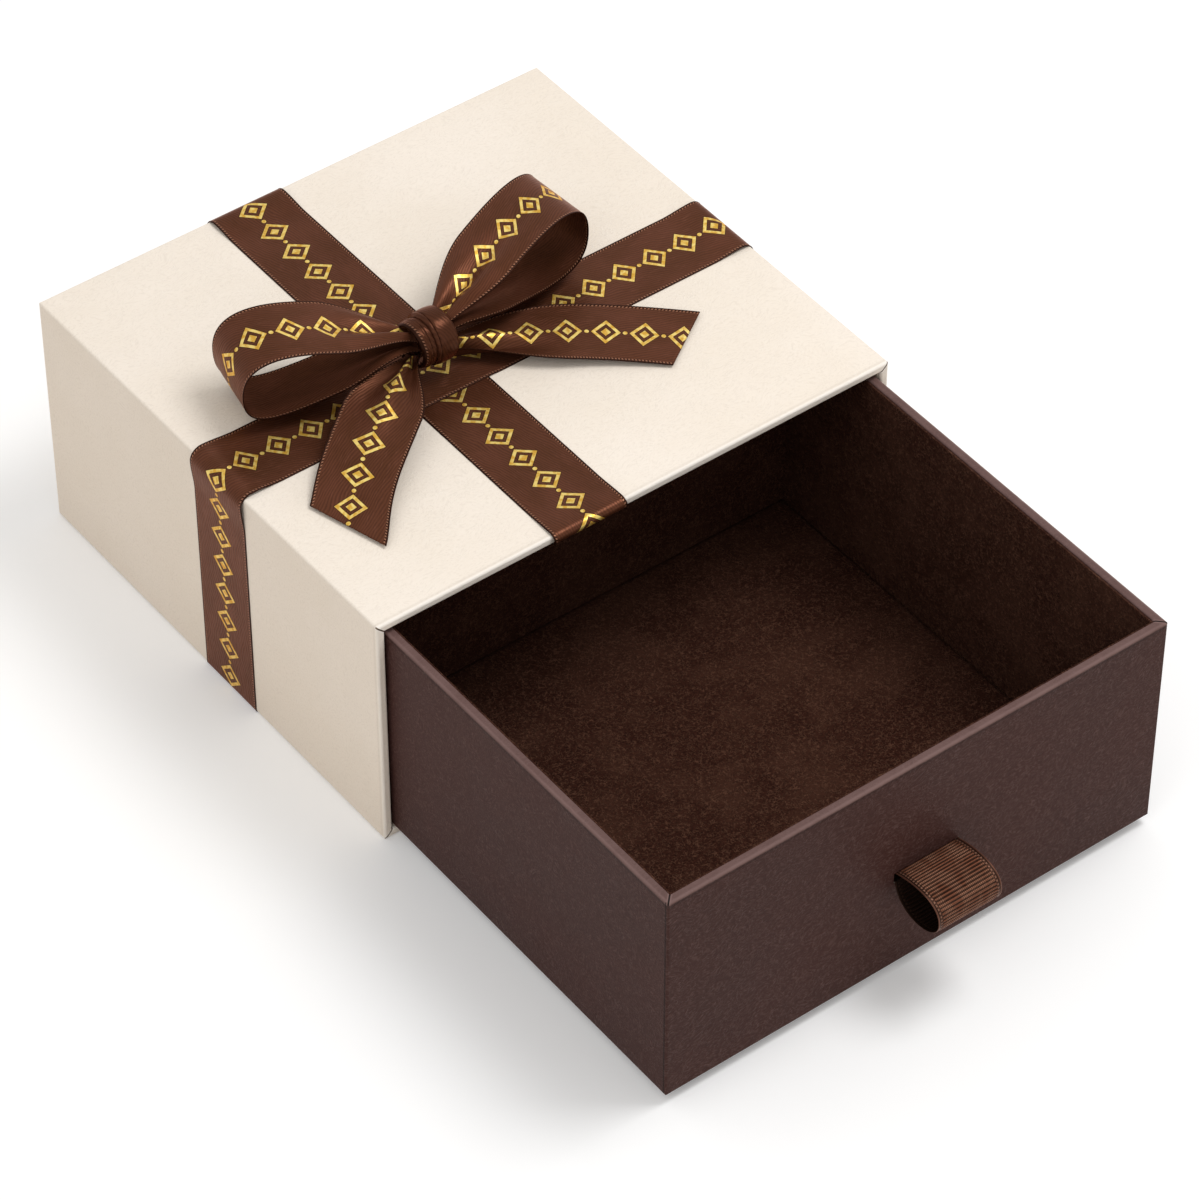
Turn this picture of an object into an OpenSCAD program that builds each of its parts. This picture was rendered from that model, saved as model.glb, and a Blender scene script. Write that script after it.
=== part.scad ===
// Sliding drawer gift box: a closed-back sleeve tied with a ribbon bow, and a
// lined drawer with a ribbon pull. Millimetres, +Z up, +Y towards the closed back.
// The origin is the middle of the sleeve's footprint, on the surface it rests on.

/* [Sleeve] */
// Width of the sleeve across its mouth
sleeve_w = 356; // [300:1:430]
// Length of the sleeve from its mouth to its closed back
sleeve_l = 334; // [300:1:420]
// Height of the sleeve
sleeve_h = 166; // [130:1:220]
// Thickness of the sleeve's boards
sleeve_board = 5; // [3:0.5:6]
// Rounding of the sleeve's wrapped edges
sleeve_round = 1.6; // [1:0.1:2]

/* [Drawer] */
// How far the drawer stands out of the sleeve
drawer_pull = 247; // [0:1:260]
// Thickness of the drawer's boards
drawer_board = 5; // [3:0.5:6]
// Rounding of the drawer's wrapped edges
drawer_round = 1.2; // [0.8:0.1:1.5]
// Gap between the drawer and each side of the sleeve
side_gap = 1.5; // [0.5:0.1:3]
// Gap between the drawer's rim and the sleeve's ceiling
top_gap = 3; // [1.5:0.1:5]
// Gap between the drawer's underside and the sleeve's floor
floor_gap = 0.3; // [0.3:0.1:1]
// Gap between the closed drawer and the sleeve's back
back_gap = 1; // [0.5:0.1:3]

/* [Coverings] */
// Thickness of the wrapping paper
paper_t = 0.25; // [0.15:0.05:0.4]
// Depth of the wrapping paper turned in at the mouth, the rim and the flaps
turn_in = 18; // [10:1:25]
// Distance of the lining and the cover sheets from the edges that they finish
sheet_inset = 3; // [2:0.5:6]
// Width of the slits where the wrapping paper is mitred
mitre_slit = 0.4; // [0.2:0.1:0.8]
// Thickness of the suede-covered lining cards
lining_t = 1.2; // [1:0.1:2]
// Distance of the lining's top edge below the drawer's rim
lining_drop = 1; // [0.5:0.1:4]
// Thickness of the padded floor card
floor_pad_t = 2.5; // [1:0.1:5]
// Gap round the padded floor card
floor_pad_gap = 0.4; // [0.2:0.1:1]

/* [Ribbons] */
// Width of the two ribbons round the sleeve
ribbon_w = 50; // [25:1:60]
// Thickness of the ribbon
ribbon_t = 0.5; // [0.3:0.1:0.8]
// Place of the cross ribbon's middle along the sleeve
cross_y = -16; // [-60:1:60]
// Place of the lengthwise ribbon's middle across the sleeve
length_x = -35; // [-60:1:60]
// Length of ribbon tucked in under the top of the mouth
mouth_tuck = 30; // [15:1:60]
// Length of ribbon turned under the back edge
back_tuck = 40; // [15:1:60]

/* [Bow] */
// Width of the ribbon that the bow is tied from
bow_w = 47; // [30:1:55]
// Reach of the left loop from the knot
left_reach = 115; // [80:1:130]
// Reach of the right loop from the knot
right_reach = 131; // [90:1:145]
// Length of the knot along the bow
knot_l = 23; // [18:1:30]
// Depth of the knot, front to back
knot_d = 28; // [26:1:34]
// Height of the knot's wraps
knot_h = 29; // [27:1:34]

/* [Pull] */
// Width of the pull's ribbon
pull_w = 44; // [20:1:60]
// Thickness of the pull's ribbon
pull_t = 0.8; // [0.5:0.1:1]
// Height of the pull's slot above the drawer's underside
pull_rise = 70; // [50:1:80]
// Place of the pull across the front
pull_x = 6; // [-40:1:40]
// How far the pull's loop stands out of the front
pull_reach = 37; // [28:1:50]
// Radius of the pull's loop at its outer end
pull_r = 12.8; // [9:0.1:14]
// How far the loop's middle droops below its slot
pull_droop = 2.5; // [0:0.5:6]
// Height of the slot in the front
slot_h = 8; // [6:0.5:12]
// Length of each tail glued behind the front board
pull_tail = 25; // [10:1:35]

/* [Hidden] */
$fn = 48;

CREAM = "#efe6d8";
CREAM_DARK = "#ddd0bd";
MAUVE = "#55403f";
SUEDE = "#2a1712";
CHOCOLATE = "#3c2019";
GREY_BOARD = "#a39c90";

// Glue line between a ribbon and what it lies on
glue = 0.05;
// Overshoot of a cut past the face that it opens
cut = 1;

// The sleeve stands on the cross ribbon that runs under it
sleeve_z = ribbon_t + glue;
sleeve_top = sleeve_z + sleeve_h;
sleeve_front = -sleeve_l / 2;
// Paper, board and turned-in paper, as the mouth's rim shows them
sleeve_rim = sleeve_board + 2 * paper_t;
// The lining lies over the turned-in paper
sleeve_wall = sleeve_rim + paper_t;
// The back cover sheet lies over the wrap's flaps
sleeve_form_l = sleeve_l - paper_t;
sleeve_inner_back = sleeve_l / 2 - 2 * paper_t - sleeve_board;

// The drawer fills the sleeve but for its running gaps
drawer_w = sleeve_w - 2 * sleeve_wall - 2 * side_gap;
drawer_l = sleeve_inner_back - paper_t - back_gap - sleeve_front;
drawer_z = sleeve_z + sleeve_wall + floor_gap + paper_t;
drawer_top = sleeve_top - sleeve_wall - top_gap;
drawer_h = drawer_top - drawer_z;
drawer_front = sleeve_front - drawer_pull;
drawer_rim = drawer_board + 2 * paper_t;
drawer_floor = drawer_z + paper_t + drawer_board;

// Rectangle about the origin with rounded corners
module rounded_rect(w, h, r) {
  square([w - 2 * r, h], center = true);
  square([w, h - 2 * r], center = true);
  for (x = [-1, 1], y = [-1, 1])
    translate([x * (w / 2 - r), y * (h / 2 - r)]) circle(r);
}

// Bars along each axis, from an outline drawn in the plane across it
module along_x(l) { rotate([90, 0, 90]) linear_extrude(l, center = true) children(); }
module along_y(l) { rotate([90, 0, 0]) linear_extrude(l, center = true) children(); }
module along_z(l) { linear_extrude(l, center = true) children(); }

// Block about the origin with all of its edges rounded
module rounded_block(w, l, h, r) {
  intersection() {
    along_x(w + cut) rounded_rect(l, h, r);
    along_y(l + cut) rounded_rect(w, h, r);
    along_z(h + cut) rounded_rect(w, l, r);
  }
}

// Outline of a hollow that flares round its rim: depth runs to +X from x = 0
module flared_outline(depth, span, r) {
  translate([-cut, -span / 2]) square([depth + cut, span]);
  difference() {
    translate([-cut, -span / 2 - r]) square([r + cut, span + 2 * r]);
    for (y = [-1, 1]) translate([r, y * (span / 2 + r)]) circle(r);
  }
}

// ---------------------------------------------------------------- sleeve

// The sleeve's outside, drawn in from its surface by d
module sleeve_form(d) {
  translate([0, -paper_t / 2, sleeve_z + sleeve_h / 2])
    rounded_block(sleeve_w - 2 * d, sleeve_form_l - 2 * d, sleeve_h - 2 * d, sleeve_round - d);
}

// The mouth with its rounded rim, for walls drawn in by d, to a given depth
module sleeve_mouth(d, depth) {
  w = sleeve_w - 2 * (sleeve_rim - d);
  h = sleeve_h - 2 * (sleeve_rim - d);
  translate([0, sleeve_front + d, sleeve_z + sleeve_h / 2])
    intersection() {
      along_x(sleeve_w) flared_outline(depth - d, h, sleeve_round - d);
      rotate([0, 0, 90]) mirror([0, 1, 0])
        along_z(sleeve_h) flared_outline(depth - d, w, sleeve_round - d);
    }
}

// All of the sleeve's board, under its paper
module sleeve_boards() {
  difference() {
    sleeve_form(paper_t);
    sleeve_mouth(paper_t, sleeve_inner_back - sleeve_front);
  }
}

// Upright box from its limits along each axis
module span_box(x, y, z) {
  translate([x[0], y[0], z[0]]) cube([x[1] - x[0], y[1] - y[0], z[1] - z[0]]);
}

// Faces of the boards inside the sleeve
board_x = sleeve_w / 2 - paper_t - sleeve_board;
board_z = [sleeve_z + paper_t + sleeve_board, sleeve_top - paper_t - sleeve_board];
sleeve_span = [-sleeve_w, sleeve_w];

module sleeve_top_board() {
  color(GREY_BOARD) intersection() {
    sleeve_boards();
    span_box(sleeve_span, sleeve_span, [board_z[1], sleeve_top]);
  }
}

module sleeve_bottom_board() {
  color(GREY_BOARD) intersection() {
    sleeve_boards();
    span_box(sleeve_span, sleeve_span, [0, board_z[0]]);
  }
}

module sleeve_left_board() {
  color(GREY_BOARD) intersection() {
    sleeve_boards();
    span_box([-sleeve_w, -board_x], sleeve_span, board_z);
  }
}

module sleeve_right_board() {
  color(GREY_BOARD) intersection() {
    sleeve_boards();
    span_box([board_x, sleeve_w], sleeve_span, board_z);
  }
}

module sleeve_back_board() {
  color(GREY_BOARD) intersection() {
    sleeve_boards();
    span_box([-board_x, board_x], [sleeve_inner_back, sleeve_l], board_z);
  }
}

// Slits where the paper's turned edges meet at a corner of the mouth
module mouth_mitres() {
  reach = 2 * sleeve_rim;
  for (x = [-1, 1], z = [-1, 1])
    translate([x * (sleeve_w / 2 - sleeve_rim / 2), sleeve_front,
               sleeve_z + sleeve_h / 2 + z * (sleeve_h / 2 - sleeve_rim / 2)])
      rotate([0, -x * z * 45, 0])
        cube([reach, 2 * paper_t + 0.1, mitre_slit], center = true);
}

module sleeve_wrap() {
  mouth_w = 2 * board_x;
  mouth_h = board_z[1] - board_z[0];
  color(CREAM) difference() {
    sleeve_form(0);
    sleeve_boards();
    sleeve_mouth(0, turn_in + cut);
    span_box([-board_x, board_x], [sleeve_front + turn_in, sleeve_inner_back], board_z);
    // Window between the flaps on the back
    translate([0, sleeve_l / 2 - 2 * paper_t, sleeve_z + sleeve_h / 2])
      along_y(2 * paper_t + cut) square([sleeve_w - 2 * turn_in, sleeve_h - 2 * turn_in], center = true);
    mouth_mitres();
  }
}

module sleeve_back_paper() {
  color(CREAM) translate([0, (sleeve_l - paper_t) / 2, sleeve_z + sleeve_h / 2])
    along_y(paper_t) square([sleeve_w - 2 * sheet_inset, sleeve_h - 2 * sheet_inset], center = true);
}

// Box inside the sleeve's boards, drawn in by d, between two depths
module sleeve_room(d, y0, y1) {
  span_box([-board_x + d, board_x - d], [y0, y1], [board_z[0] + d, board_z[1] - d]);
}

module sleeve_lining() {
  start = sleeve_front + sheet_inset;
  step = sleeve_front + turn_in;
  color(CREAM_DARK) difference() {
    union() {
      sleeve_room(0, step, sleeve_inner_back);
      sleeve_room(paper_t, start, step + cut);
    }
    sleeve_room(paper_t, step + paper_t, sleeve_inner_back - paper_t);
    sleeve_room(2 * paper_t, start - cut, step + cut);
  }
}

// ---------------------------------------------------------------- ribbons round the sleeve

// Ring of ribbon round a rectangle
module ribbon_ring(w, h) {
  difference() {
    rounded_rect(w + 2 * (glue + ribbon_t), h + 2 * (glue + ribbon_t), sleeve_round + glue + ribbon_t);
    rounded_rect(w + 2 * glue, h + 2 * glue, sleeve_round + glue);
  }
}

// The lengthwise ribbon's outline: along the sleeve to the right, up to the top
module length_outline() {
  // Clip over the top of the mouth
  rim_z = sleeve_top - sleeve_wall / 2;
  difference() {
    translate([sleeve_front + mouth_tuck, rim_z]) ribbon_ring(2 * mouth_tuck, sleeve_wall);
    translate([sleeve_front + mouth_tuck, 0]) square([2 * mouth_tuck, 2 * sleeve_h]);
  }
  // Top run, back and the end turned under
  difference() {
    translate([0, sleeve_z + sleeve_h / 2]) ribbon_ring(sleeve_l, sleeve_h);
    translate([-sleeve_l, -cut]) square([1.5 * sleeve_l - back_tuck, sleeve_top]);
    translate([-sleeve_l, -cut]) square([0.5 * sleeve_l + mouth_tuck, 2 * sleeve_h]);
  }
}

module length_ribbon() {
  color(CHOCOLATE) translate([length_x, 0, 0]) along_x(ribbon_w) length_outline();
}

// The cross ribbon rises over the lengthwise one by the ribbon and its glue line
module crossing_outline() {
  lift = ribbon_t + glue;
  flat = ribbon_w / 2 + 2;
  ramp = flat + 6;
  z = sleeve_top + glue;
  under = [[-ramp, z], [-flat, z + lift], [flat, z + lift], [ramp, z]];
  over = [for (i = [3:-1:0]) under[i] + [0, ribbon_t]];
  translate([length_x, 0]) polygon(concat(under, over));
}

module cross_ribbon() {
  gap = 2 * (ribbon_w / 2 + 8);
  color(CHOCOLATE) translate([0, cross_y, 0]) along_y(ribbon_w) {
    difference() {
      translate([0, sleeve_z + sleeve_h / 2]) ribbon_ring(sleeve_w, sleeve_h);
      translate([length_x - gap / 2, sleeve_top - cut]) square([gap, 4 * cut]);
    }
    crossing_outline();
  }
}

// ---------------------------------------------------------------- bow

// Curves of the bow, from the crossing of the ribbons on the sleeve's top.
// A loop's curve is given as [out from the knot, up]: its top run, then its return.
bow_z = sleeve_top;
// Height of the knot's middle, and of the bottom of its wraps
knot_z = 24;
knot_floor = knot_z - knot_h / 2;
// Height of the loops over the knot's middle, and of the tails over its bottom
loop_rise = 8;
tail_rise = 5.5;
// Depth that the wraps and the slack beside the gathered ribbon take up
loop_room = 12.35;
tail_room = 13.95;
loop_left = [[[6, 27], [45, 48], [left_reach, 73], [left_reach, 29]],
             [[left_reach, 29], [left_reach, -20], [46, 29], [6, 21]]];
loop_right = [[[6, 26], [29, 45], [right_reach, 78], [right_reach, 28]],
              [[right_reach, 28], [right_reach, -26], [31, 43], [6, 20]]];
// Direction of each loop and of the ribbon's width across it
left_angles = [160.5, 257];
right_angles = [17.5, 273];
// Rise of the near edge over the far one, on the top run and on the return
left_tilt = [-1.3, 12];
right_tilt = [3.7, 9];
// Spines of the two tails as [across, along, up]
tail_front = [[-7, 2, knot_floor + tail_rise], [-37, -18, 32], [-80, -48, 5], [-86, -54, 2]];
tail_right = [[8, 2, knot_floor + 3.2], [36, -3, 12], [77, -18, 6.5], [128, -64, 2]];
// How far each edge of a tail runs on past its spine, which cuts the end aslant
front_ends = [21, 47];
right_ends = [12, 0];

// Depth of the knot's wraps at a height over or under its middle
function knot_depth(rise) = knot_d * sqrt(1 - pow(2 * rise / knot_h, 2));
// Width of the gathered loops and tails: what the wraps leave, less the room for the wraps
loop_gather = knot_depth(loop_rise) - loop_room;
tail_gather = knot_depth(knot_h / 2 - tail_rise) - tail_room;
// Share of a run that the gathered ribbon opens over
loop_pinch = 0.38;
front_pinch = 0.45;
right_pinch = 0.66;
// Depth of the gathers at the knot
gather_depth = 2;
// Shares of a tail's run: where its cut starts to slant, and where it takes its end's direction
slant_start = 0.4;
settle_start = 0.6;
settle_end = 0.95;

loop_steps = 18;
tail_steps = 16;
wrap_steps = 24;
across_steps = 8;

function smooth(x) = let (c = max(0, min(1, x))) c * c * (3 - 2 * c);
function unit(v) = v / norm(v);
function bezier(p, t) =
  pow(1 - t, 3) * p[0] + 3 * pow(1 - t, 2) * t * p[1] + 3 * (1 - t) * t * t * p[2] + t * t * t * p[3];
function slope(p, t) =
  3 * pow(1 - t, 2) * (p[1] - p[0]) + 6 * (1 - t) * t * (p[2] - p[1]) + 3 * t * t * (p[3] - p[2]);

// A station is [middle, vector from the middle to the near edge, normal, gather depth]
function loop_station(curve, angles, tilt, s) =
  let (
    run = s <= 1 ? 0 : 1,
    u = run == 0 ? s : 2 - s,
    c = bezier(curve[run], s - run),
    m = slope(curve[run], s - run),
    out = [cos(angles[0]), sin(angles[0]), 0],
    side = [cos(angles[1]), sin(angles[1]), 0],
    open = smooth(u / loop_pinch),
    half = (loop_gather + (bow_w - loop_gather) * open) / 2,
    rise = tilt[run] / 2 * open * (1 - pow(u, 3))
  )
  [out * c[0] + [0, 0, c[1]], side * half + [0, 0, rise], unit([0, 0, m[0]] - out * m[1]),
   gather_depth * (1 - open)];

function flat_unit(v) = unit([v[0], v[1], 0]);
function tail_station(spine, pinch, ends, side, t) =
  let (
    m = slope(spine, t),
    settled = smooth((t - settle_start) / (settle_end - settle_start)),
    ahead = unit(flat_unit(m) * (1 - settled) + flat_unit(spine[3] - spine[2]) * settled),
    near = [ahead[1], -ahead[0], 0] * side,
    open = smooth(t / pinch),
    half = (tail_gather + (bow_w - tail_gather) * open) / 2,
    shear = smooth((t - slant_start) / (1 - slant_start))
  )
  [bezier(spine, t) + ahead * (ends[0] + ends[1]) / 2 * shear,
   near * half + ahead * (ends[1] - ends[0]) / 2 * shear,
   unit(cross(m, near)) * side, gather_depth * (1 - open)];

function wrap_station(x, w, lean, grow, a) =
  [[x + lean * cos(a), (knot_d / 2 + grow) * sin(a), (knot_h / 2 + grow) * cos(a)],
   [w / 2, 0, 0], [0, sin(a), cos(a)], 0];

// Points across a station, on the side of the ribbon that lift gives
function row(station, lift, crown) = [
  for (j = [0:across_steps])
    let (
      v = 2 * j / across_steps - 1,
      rise = lift + station[3] * cos(360 * v) + crown * (1 - v * v)
    )
    station[0] + station[1] * v + station[2] * rise
];

// Closed strip of ribbon through a list of stations
module strip(stations, thickness, crown = 0) {
  n = len(stations);
  wide = across_steps + 1;
  points = concat(
    [for (s = stations) each row(s, thickness / 2, crown)],
    [for (s = stations) each row(s, -thickness / 2, crown)]
  );
  low = n * wide;
  face_quads = [
    for (i = [0:n - 2], j = [0:across_steps - 1])
      let (a = i * wide + j) each [[a, a + 1, a + wide + 1, a + wide],
                                   [low + a, low + a + wide, low + a + wide + 1, low + a + 1]]
  ];
  edge_quads = [
    for (i = [0:n - 2])
      let (a = i * wide, b = a + across_steps)
      each [[a, a + wide, low + a + wide, low + a], [b, low + b, low + b + wide, b + wide]]
  ];
  end_quads = [
    for (j = [0:across_steps - 1])
      let (b = (n - 1) * wide + j)
      each [[j, low + j, low + j + 1, j + 1], [b, b + 1, low + b + 1, low + b]]
  ];
  quads = concat(face_quads, edge_quads, end_quads);
  // The faces turn the other way where the near edge is on the spine's other side
  first = stations[0];
  flip = cross(stations[1][0] - first[0], first[1]) * first[2] < 0;
  polyhedron(points, [
    for (q = quads)
      each flip ? [[q[0], q[2], q[1]], [q[0], q[3], q[2]]] : [[q[0], q[1], q[2]], [q[0], q[2], q[3]]]
  ]);
}

module on_crossing() {
  color(CHOCOLATE) translate([length_x, cross_y, bow_z]) children();
}

module bow_loop_left() {
  on_crossing() strip([for (i = [0:2 * loop_steps])
    loop_station(loop_left, left_angles, left_tilt, i / loop_steps)], ribbon_t);
}

module bow_loop_right() {
  on_crossing() strip([for (i = [0:2 * loop_steps])
    loop_station(loop_right, right_angles, right_tilt, i / loop_steps)], ribbon_t);
}

module bow_tail_front() {
  on_crossing() strip([for (i = [0:tail_steps])
    tail_station(tail_front, front_pinch, front_ends, -1, i / tail_steps)], ribbon_t);
}

module bow_tail_right() {
  on_crossing() strip([for (i = [0:tail_steps])
    tail_station(tail_right, right_pinch, right_ends, 1, i / tail_steps)], ribbon_t);
}

// Two wraps round the gathered ribbon, on a neck that reaches down to the crossing
module bow_knot() {
  wrap_t = 3 * ribbon_t;
  crown = 1;
  narrow = 0.42 * knot_l;
  wide = knot_l - narrow;
  gap_angle = 12;
  neck_z = 2 * ribbon_t + 3 * glue;
  turn = [for (i = [0:wrap_steps]) gap_angle - 180 + (360 - 2 * gap_angle) * i / wrap_steps];
  on_crossing() {
    translate([0, 1, knot_z]) {
      strip([for (a = turn) wrap_station(narrow / 2, wide, 1.5, 1, a)], wrap_t, crown);
      strip([for (a = turn) wrap_station(-wide / 2, narrow, 2.5, -0.6, a)], wrap_t, crown);
    }
    translate([0, 0, (neck_z + knot_floor + wrap_t) / 2])
      along_z(knot_floor + wrap_t - neck_z) rounded_rect(knot_l / 2, knot_d / 3, 3);
  }
}

// ---------------------------------------------------------------- drawer

// The drawer's outside, drawn in from its surface by d
module drawer_form(d) {
  translate([0, drawer_front + drawer_l / 2, drawer_z + drawer_h / 2])
    rounded_block(drawer_w - 2 * d, drawer_l - 2 * d, drawer_h - 2 * d, drawer_round - d);
}

// The drawer's hollow with its rounded rim, for walls drawn in by d, to a given depth
module drawer_hollow(d, depth) {
  w = drawer_w - 2 * (drawer_rim - d);
  l = drawer_l - 2 * (drawer_rim - d);
  translate([0, drawer_front + drawer_l / 2, drawer_top - d])
    intersection() {
      rotate([90, 90, 0]) linear_extrude(drawer_l, center = true)
        flared_outline(depth - d, w, drawer_round - d);
      rotate([90, 90, 90]) linear_extrude(drawer_w, center = true)
        flared_outline(depth - d, l, drawer_round - d);
    }
}

// All of the drawer's board, under its paper
module drawer_boards() {
  difference() {
    drawer_form(paper_t);
    drawer_hollow(paper_t, drawer_top - drawer_floor);
  }
}

// Faces of the boards inside the drawer
tray_x = drawer_w / 2 - paper_t - drawer_board;
tray_y = [drawer_front + paper_t + drawer_board, drawer_front + drawer_l - paper_t - drawer_board];
tray_z = [drawer_floor, drawer_top];
tray_span = [-drawer_w, drawer_w];
tray_length = [drawer_front - cut, drawer_front + drawer_l + cut];

// Height of the pull's slot
pull_z = drawer_z - paper_t + pull_rise;
slot_w = pull_w + 2;
slot_r = 1;

// Slot through the front, from its face to a given depth
module pull_slot(depth) {
  translate([pull_x, drawer_front + depth / 2, pull_z])
    along_y(depth + cut) rounded_rect(slot_w, slot_h, slot_r);
}

module drawer_base_board() {
  color(GREY_BOARD) intersection() {
    drawer_boards();
    span_box(tray_span, tray_length, [drawer_z, drawer_floor]);
  }
}

module drawer_front_board() {
  color(GREY_BOARD) difference() {
    intersection() {
      drawer_boards();
      span_box(tray_span, [tray_length[0], tray_y[0]], tray_z);
    }
    pull_slot(drawer_rim);
  }
}

module drawer_back_board() {
  color(GREY_BOARD) intersection() {
    drawer_boards();
    span_box(tray_span, [tray_y[1], tray_length[1]], tray_z);
  }
}

module drawer_left_board() {
  color(GREY_BOARD) intersection() {
    drawer_boards();
    span_box([-drawer_w, -tray_x], tray_y, tray_z);
  }
}

module drawer_right_board() {
  color(GREY_BOARD) intersection() {
    drawer_boards();
    span_box([tray_x, drawer_w], tray_y, tray_z);
  }
}

// Slits where the paper's turned edges meet at a corner of the rim
module rim_mitres() {
  reach = 2 * drawer_rim;
  for (x = [-1, 1], y = [-1, 1])
    translate([x * (drawer_w / 2 - drawer_rim / 2),
               drawer_front + drawer_l / 2 + y * (drawer_l / 2 - drawer_rim / 2), drawer_top])
      rotate([0, 0, x * y * 45])
        cube([reach, mitre_slit, 2 * paper_t + 0.1], center = true);
}

// Grooves beside the front corners, where the front's paper ends on the sides
module corner_seams() {
  seam_w = 0.3;
  seam_y = drawer_front + drawer_round + seam_w;
  for (x = [-1, 1])
    translate([x * drawer_w / 2, seam_y, drawer_z + drawer_h / 2])
      cube([paper_t, seam_w, drawer_h + cut], center = true);
}

module drawer_wrap() {
  color(MAUVE) difference() {
    drawer_form(0);
    drawer_boards();
    drawer_hollow(0, turn_in + cut);
    span_box([-tray_x, tray_x], tray_y, [drawer_floor, drawer_top - turn_in]);
    // Window between the flaps under the base
    translate([0, drawer_front + drawer_l / 2, drawer_z])
      along_z(2 * paper_t + cut) square([drawer_w - 2 * turn_in, drawer_l - 2 * turn_in], center = true);
    pull_slot(drawer_rim);
    rim_mitres();
    corner_seams();
  }
}

module drawer_base_paper() {
  color(MAUVE) translate([0, drawer_front + drawer_l / 2, drawer_z - paper_t / 2])
    along_z(paper_t) square([drawer_w - 2 * sheet_inset, drawer_l - 2 * sheet_inset], center = true);
}

// ---------------------------------------------------------------- drawer lining

// Lining cards stand on the base board, behind the turned-in paper
card_x = tray_x - paper_t;
card_y = [tray_y[0] + paper_t, tray_y[1] - paper_t];
card_h = drawer_top - lining_drop - drawer_floor;
card_round = 0.4;

// Upright card of a given length with a rounded top edge, along X
module lining_card(l) {
  along_x(l) {
    translate([0, -card_round / 2]) square([lining_t, card_h - card_round], center = true);
    rounded_rect(lining_t, card_h, card_round);
  }
}

// Space behind the front card for the pull's glued tails
module tail_relief() {
  depth = pull_t - paper_t + 0.1;
  translate([pull_x, card_y[0] + depth / 2 - cut / 2, pull_z])
    cube([pull_w + 2, depth + cut, slot_h + 2 * pull_tail + 2], center = true);
}

module lining_front() {
  color(SUEDE) difference() {
    translate([0, card_y[0] + lining_t / 2, drawer_floor + card_h / 2]) lining_card(2 * card_x);
    tail_relief();
  }
}

module lining_back() {
  color(SUEDE) translate([0, card_y[1] - lining_t / 2, drawer_floor + card_h / 2])
    lining_card(2 * card_x);
}

module lining_side(x) {
  color(SUEDE) translate([x * (card_x - lining_t / 2), (card_y[0] + card_y[1]) / 2, drawer_floor + card_h / 2])
    rotate([0, 0, 90]) lining_card(card_y[1] - card_y[0] - 2 * lining_t);
}

module lining_left() { lining_side(-1); }
module lining_right() { lining_side(1); }

module floor_pad() {
  w = 2 * (card_x - lining_t - floor_pad_gap);
  l = card_y[1] - card_y[0] - 2 * (lining_t + floor_pad_gap);
  soft = 0.8;
  color(SUEDE) translate([0, (card_y[0] + card_y[1]) / 2, drawer_floor])
    intersection() {
      translate([0, 0, floor_pad_t / 2 - soft]) along_x(w + cut) rounded_rect(l, floor_pad_t + 2 * soft, soft);
      translate([0, 0, floor_pad_t / 2 - soft]) along_y(l + cut) rounded_rect(w, floor_pad_t + 2 * soft, soft);
      translate([-w / 2, -l / 2, 0]) cube([w, l, floor_pad_t]);
    }
}

// ---------------------------------------------------------------- pull

// Where a line from point p touches a circle, on the side that turn gives
function touch(p, c, r, turn) =
  let (v = p - c, a = atan2(v[1], v[0]) + turn * acos(r / norm(v)))
  c + r * [cos(a), sin(a)];

// Drop shape from the slot to the loop's round end, drawn in by d
module drop_outline(d) {
  mouth = slot_h / 2 - 0.3 - d;
  c = [pull_reach - pull_r, -pull_droop];
  r = pull_r - d;
  high = [0, mouth];
  low = [0, -mouth];
  // Lines that run just inside the circle meet it cleanly
  inner_r = r - 0.02;
  translate(c) circle(r);
  polygon([high, low, touch(low, c, inner_r, 1), c, touch(high, c, inner_r, -1)]);
}

// The pull's outline: out of the front to the right, up to the top
module pull_outline() {
  mouth = slot_h / 2 - 0.3;
  behind = paper_t + drawer_board;
  difference() {
    drop_outline(0);
    drop_outline(pull_t);
  }
  for (s = [-1, 1]) {
    translate([-behind / 2, s * (mouth - pull_t / 2)]) square([behind, pull_t], center = true);
    translate([-behind - pull_t / 2, s * (mouth - pull_t + pull_tail / 2)])
      square([pull_t, pull_tail], center = true);
  }
}

module pull_loop() {
  color(CHOCOLATE) translate([pull_x, drawer_front, pull_z])
    mirror([0, 1, 0]) along_x(pull_w) pull_outline();
}

sleeve_top_board();
sleeve_bottom_board();
sleeve_left_board();
sleeve_right_board();
sleeve_back_board();
sleeve_wrap();
sleeve_back_paper();
sleeve_lining();
length_ribbon();
cross_ribbon();
bow_knot();
bow_loop_left();
bow_loop_right();
bow_tail_front();
bow_tail_right();
drawer_base_board();
drawer_front_board();
drawer_back_board();
drawer_left_board();
drawer_right_board();
drawer_wrap();
drawer_base_paper();
lining_front();
lining_back();
lining_left();
lining_right();
floor_pad();
pull_loop();
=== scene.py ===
import math

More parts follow.
